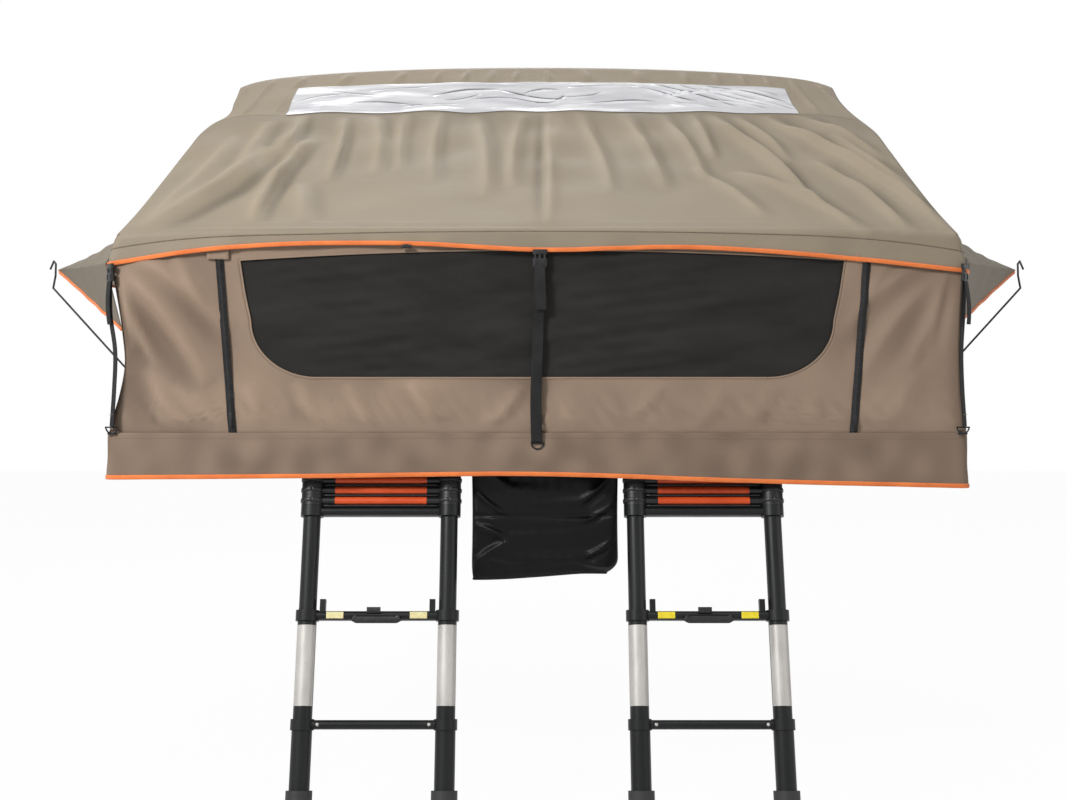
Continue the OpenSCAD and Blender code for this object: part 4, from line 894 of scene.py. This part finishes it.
for end, (turn, base, outward) in ends.items():
    share, drop = grid((0, 1, 401), (0, 1, 33))
    points, flat = skirt_points(share, drop)
    # The skirt's colour is darkened all over, and painted shade and light run in bands along its
    # folds.
    relief_and_shade = 0.25 * ripple(share * 4.6 * 1.3, drop * 0.1, 62, 0.16) - 0.65
    skirt = fixed(surface("skirt_cloth_" + end, turn(points), flat, wall_cloth, (0, outward, 0),
                          None, cloth_thick, relief_and_shade), base)
    hem = turn(points[:, -1] + [0.0, 0.0, -0.001])
    binding = fixed(carried("skirt_binding_" + end, hem, ring(0.0115, 0.0048, 14, 2.6),
                            bound_edge), base)
    fixed(carried("skirt_stitch_" + end, turn(points[2:-2, 4]), ring(0.0010, 0.0014, 6, 2),
                  wall_cloth), base)
    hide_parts("skirt_" + end)


# Ladders: seven anodised tube sections a side slide into one another; rungs are pressed in with
# moulded collars, the upper ones orange, and a release bar hangs in front of the second rung.
lean, rail_off, band_radius, lip_radius = math.radians(16), 0.175, 0.02365, 0.0294
rung_1, rung_2, rivet_off, plate_off, tread_half = 0.665, 0.401, 0.136, 0.104, 0.148


def on_ladder(x, down, out):
    """A place on a ladder: down its slope from the bracket pins, and out square to the slope."""
    return spots(x, -1.735 - down * math.sin(lean) - out * math.cos(lean),
                 0.005 - down * math.cos(lean) + out * math.sin(lean))


def ladder_bar(name, path, profile, finished, body):
    """A bar across or round a ladder: its profile's width lies down the ladder's slope."""
    down_way = on_ladder(0, 1, 0) - on_ladder(0, 0, 0)
    return fixed(carried(name, path, profile, finished, down_way), body)


anodised_black = finish("anodised_black", (15, 16, 17), (23, 24, 25), 0.08, (0.32, 0.44), 0.0,
                        (1, 1, 0.2), Specular_IOR_Level=0.25)
grained(anodised_black, 0.002, 0.00012, (1, 1, 0.05))
boot_rubber = finish("boot_rubber", (26, 26, 27), (40, 40, 41), 0.03, (0.55, 0.72))
grained(boot_rubber, 0.0018, 0.0003)
plain_silver = finish("plain_silver", (176, 173, 168), (194, 191, 186), 0.04, (0.36, 0.54), 0.35,
                      (1, 1, 0.3))
grained(plain_silver, 0.001, 0.00006)
plain_cream = finish("plain_cream", (214, 202, 146), (228, 218, 166), 0.015, (0.42, 0.58))
plain_yellow = finish("plain_yellow", (222, 200, 34), (238, 218, 52), 0.015, (0.42, 0.58))

for word, middle, plate_finish in (("left", -0.400, plain_cream), ("right", 0.425, plain_yellow)):
    grained(plate_finish, 0.001, 0.0001)
    two_tone = finish("ladder_two_tone_" + word, (196, 68, 26), (212, 82, 34), 0.06, (0.34, 0.48),
                      Specular_IOR_Level=0.35)
    tree = two_tone.node_tree
    colour = tree.nodes["Principled BSDF"].inputs["Base Color"]
    at = node(tree, "SeparateXYZ", {"Vector": node(tree, "TexCoord").outputs["Object"]})
    off = node(tree, "Math", {0: at.outputs["X"], 1: middle}, operation="SUBTRACT")
    far = node(tree, "Math", {0: off.outputs["Value"]}, operation="ABSOLUTE")
    rung = node(tree, "Math", {0: far.outputs["Value"], 1: 0.117}, operation="LESS_THAN")
    either = node(tree, "Mix", {"Factor": rung.outputs["Value"], "A": tone(17, 18, 19),
                                "B": colour.links[0].from_socket}, data_type="RGBA")
    tree.links.new(either.outputs["Result"], colour)
    grained(two_tone, 0.002, 0.00015)
    dress(anodised_black, *["%s_section_%d" % (word, n) for n in (1, 2, 3)])
    dress(two_tone, *["%s_section_%d" % (word, n) for n in (4, 5, 6, 7)])
    dress(boot_rubber, word + "_feet")

    for number, way in ((1, -1), (2, 1)):
        a, down = grid((-78, 78, 41), (0.425, 0.621, 12))
        a = np.radians(a)
        points = on_ladder(middle + way * rail_off + band_radius * np.sin(a), down,
                           band_radius * np.cos(a))
        fixed(surface("%s_band_%d" % (word, number), points, spots(a * band_radius, down),
                      plain_silver, (0, -1, 0)), word + "_ladder_2")
        a, r = grid((0, 2 * math.pi, 25), (0, 1, 8))
        points = on_ladder(middle + way * rivet_off + 0.0042 * r * np.cos(a),
                           rung_1 + 0.0042 * r * np.sin(a),
                           0.0163 + 0.0022 * np.sqrt(1 - 0.98 * r ** 2))
        fixed(surface("%s_rivet_%d" % (word, number), points,
                      spots(r * np.cos(a), r * np.sin(a)) * 0.004, plain_silver, (0, -1, 0)),
              word + "_ladder_1")
        plate = middle + way * plate_off + np.linspace(-0.0215, 0.0215, 24)
        ladder_bar("%s_plate_%d" % (word, number), on_ladder(plate, rung_2, 0.0166),
                   ring(0.0165, 0.0014, 16, 4), plate_finish, word + "_ladder_2")
    for number, down, body in ((7, 0.0425, "_ladder_top"), (6, 0.0695, "_ladder_6"),
                               (5, 0.0965, "_ladder_5"), (4, 0.1235, "_ladder_4")):
        path = on_ladder(middle + np.linspace(-tread_half, tread_half, 24), down, 0.001)
        ladder_bar("%s_rung_pad_%d" % (word, number), path, ring(0.0048, 0.026, 16, 6),
                   moulded_black, word + body)
        a = np.linspace(0, 2 * math.pi, 41)
        for rail in (-rail_off, rail_off):
            path = on_ladder(middle + rail + lip_radius * np.sin(a), down - 0.0135,
                             lip_radius * np.cos(a))
            facing = "in" if rail * middle < 0 else "out"
            ladder_bar("%s_collar_lip_%d_%s" % (word, number, facing), path,
                       ring(0.010, 0.0040, 12, 3), moulded_black, word + body)
    w = np.linspace(-1, 1, 61)
    dip = 0.0125 + 0.011 * held((1 - np.abs(w)) / 0.16)
    path = on_ladder(middle + 0.0585 * w, rung_2 + dip * 0.5, 0.0206)
    handle = ladder_bar(word + "_release_handle", path, ring(0.0175, 0.0080, 24, 2.8),
                        moulded_black, word + "_ladder_release")
    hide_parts(word + "_release_bar")
    path = on_ladder(middle - 0.008 + np.linspace(-0.017, 0.017, 24), 0.3885, 0.0172)
    ladder_bar(word + "_lock_block", path, ring(0.015, 0.0050, 20, 3.5), moulded_black,
               word + "_ladder_2")


# Bag: a coated nylon pouch hung under the front frame rail between the ladders, for shoes; it
# is cut flat, open at its top, and sags fuller towards its foot.
bag_nylon = finish("bag_nylon", (6, 6, 7), (11, 11, 12), 0.1, (0.26, 0.40),
                   Specular_IOR_Level=0.16)
grained(bag_nylon, 0.02, 0.002, (1, 1, 1), 0.4)
woven(bag_nylon, 0.0012, 0.0002, 0.6)

bag_folds = [
    (-160, 0, -20, -130, 10, 12, 6), (-170, -60, -60, -140, -10, 9, 5),
    (200, -20, 60, -130, 10, 12, 6), (200, -100, 80, -160, 10, 9, 5),
    (-170, -160, -50, -220, 10, 10, 6), (-170, -270, -60, -200, 10, 10, 6),
    (0, -170, 130, -240, -10, 10, 6), (200, -190, 90, -250, 10, 9, 5),
    (-80, -180, 40, -270, 10, 9, 5), (190, -270, 60, -230, 10, 9, 5),
    (20, 0, 30, -120, 10, 12, 5), (-130, -250, -20, -280, 0, 8, 4)]
mouth_z, bag_foot_z, bag_y = 0.036, -0.291, -1.7425


def bag_points(a, s):
    """Down from the bag's mouth at s 0 to its foot at s 1, and round it by angle: a flat oval
    that fills towards the foot and closes there on a curved bottom line, in diagonal folds."""
    c, d = np.cos(a), np.sin(a)
    side = np.sign(c) * np.abs(c) ** 0.22
    front = np.sign(d) * np.abs(d) ** 0.7
    near_foot = held((s - 0.84) / 0.16)
    half = 0.190 - np.where(c > 0, 0.034, 0.005) * near_foot ** 3 - 0.003 * np.sin(3 * s)
    fill = 0.010 + 0.012 * np.sin(math.pi * held(s) * 0.75) ** 1.5
    fill = fill * np.sqrt(held(1 - near_foot ** 4))
    x = 0.0195 + half * side
    z = mouth_z + (bag_foot_z - mouth_z) * held(s)
    z = z - 0.006 * np.clip(0.6 - side, 0, 2) * near_foot + 0.004 * np.sin(2.2 * side) * near_foot
    crumple = 1.7 * strokes(x, z, bag_folds) + 0.0022 * ripple(x + z * 0.6, z, 71, 0.11)
    calm = held(s / 0.1) * held((1 - s) / 0.06) * np.abs(front)
    seam = -0.004 * np.exp(-((z + 0.138) / 0.005) ** 2)
    return spots(x, bag_y - front * (fill + calm * (crumple + seam)), z)


a, s = grid((0, 2 * math.pi, 241), (0, 1, 111))
points = bag_points(a, s)
points[-1] = points[0]
bag = fixed(surface("shoe_bag_cloth", points, spots(a * 0.12, s * 0.34), bag_nylon, None, None,
                    0.0010), "overhang_base")
bottom = bag_points(np.linspace(math.pi - 0.02, 0.02, 121), np.full(121, 0.995))
fixed(carried("shoe_bag_edge", bottom, ring(0.006, 0.004, 10, 2), strap_web),
      "overhang_base")
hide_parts("shoe_bag")


# Studio: a pale floor under a white surround, panels of light from the front, above and behind,
# and the camera square to the ladder side, a little above the floor of the tent.
def seen_by(tree, *rays):
    """1 for a ray of one of the kinds named, and 0 for any other."""
    kinds = node(tree, "LightPath")
    share = kinds.outputs[rays[0]]
    for ray in rays[1:]:
        share = node(tree, "Math", {0: share, 1: kinds.outputs[ray]},
                     operation="MAXIMUM").outputs["Value"]
    return share


pale_paper = bpy.data.materials.new("pale_paper")
pale_paper.use_nodes = True
tree = pale_paper.node_tree
shader = tree.nodes["Principled BSDF"]
shader.inputs["Base Color"].default_value = (0.9, 0.9, 0.9, 1.0)
shader.inputs["Roughness"].default_value = 0.9
white_share = node(tree, "Math", {0: seen_by(tree, "Is Camera Ray", "Is Glossy Ray"), 1: 0.97},
                   operation="MULTIPLY")
both = node(tree, "MixShader", {"Fac": white_share.outputs["Value"], 1: shader.outputs["BSDF"],
                                2: node(tree, "Emission").outputs["Emission"]})
tree.links.new(both.outputs["Shader"], tree.nodes["Material Output"].inputs["Surface"])
x, y = grid((-14, 14, 9), (-14, 14, 9))
paper = surface("studio_paper", spots(x, y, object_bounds()[0][2]), spots(x, y), pale_paper, (0, 0, 1))

world = bpy.data.worlds.new("studio")
bpy.context.scene.world = world
world.use_nodes = True
tree = world.node_tree
fill_light = tree.nodes["Background"]
fill_light.inputs["Color"].default_value = (1.0, 1.0, 1.0, 1.0)
fill_light.inputs["Strength"].default_value = 0.18
white = node(tree, "Background", {"Color": (1.0, 1.0, 1.0, 1.0)})
direct = seen_by(tree, "Is Camera Ray", "Is Glossy Ray", "Is Transmission Ray")
choose = node(tree, "MixShader", {"Fac": direct, 1: fill_light.outputs["Background"],
                                  2: white.outputs["Background"]})
tree.links.new(choose.outputs["Shader"], tree.nodes["World Output"].inputs["Surface"])

for name, at, aim, size, power in (("light_key", (-3.3, -5.2, 3.2), (0, -1.3, 0.6), 1.2, 290),
                                   ("light_over", (0.8, -2.2, 4.8), (0, -1.2, 0.6), 2.6, 60),
                                   ("light_right", (4.4, -3.4, 1.6), (0, -1.2, 0.4), 2.6, 30),
                                   ("light_back", (-0.5, 3.6, 3.4), (0, -0.3, 0.6), 3.0, 110)):
    lamp = bpy.data.lights.new(name, "AREA")
    lamp.shape, lamp.size, lamp.energy = "SQUARE", size, power
    holder = bpy.data.objects.new(name, lamp)
    bpy.context.scene.collection.objects.link(holder)
    holder.location = at
    way = np.array(aim, float) - np.array(at, float)
    holder.rotation_euler = (math.acos(-way[2] / np.linalg.norm(way)), 0,
                             math.atan2(way[1], way[0]) - math.pi / 2)

lens = bpy.data.cameras.new("photograph_view")
lens.sensor_width, lens.lens = 36.0, 43.19
view = bpy.data.objects.new("photograph_view", lens)
bpy.context.scene.collection.objects.link(view)
view.location = (-0.010, -5.045, 0.159)
view.rotation_euler = (math.pi / 2, 0, 0)
bpy.context.scene.camera = view
bpy.context.scene.view_settings.view_transform = "Standard"
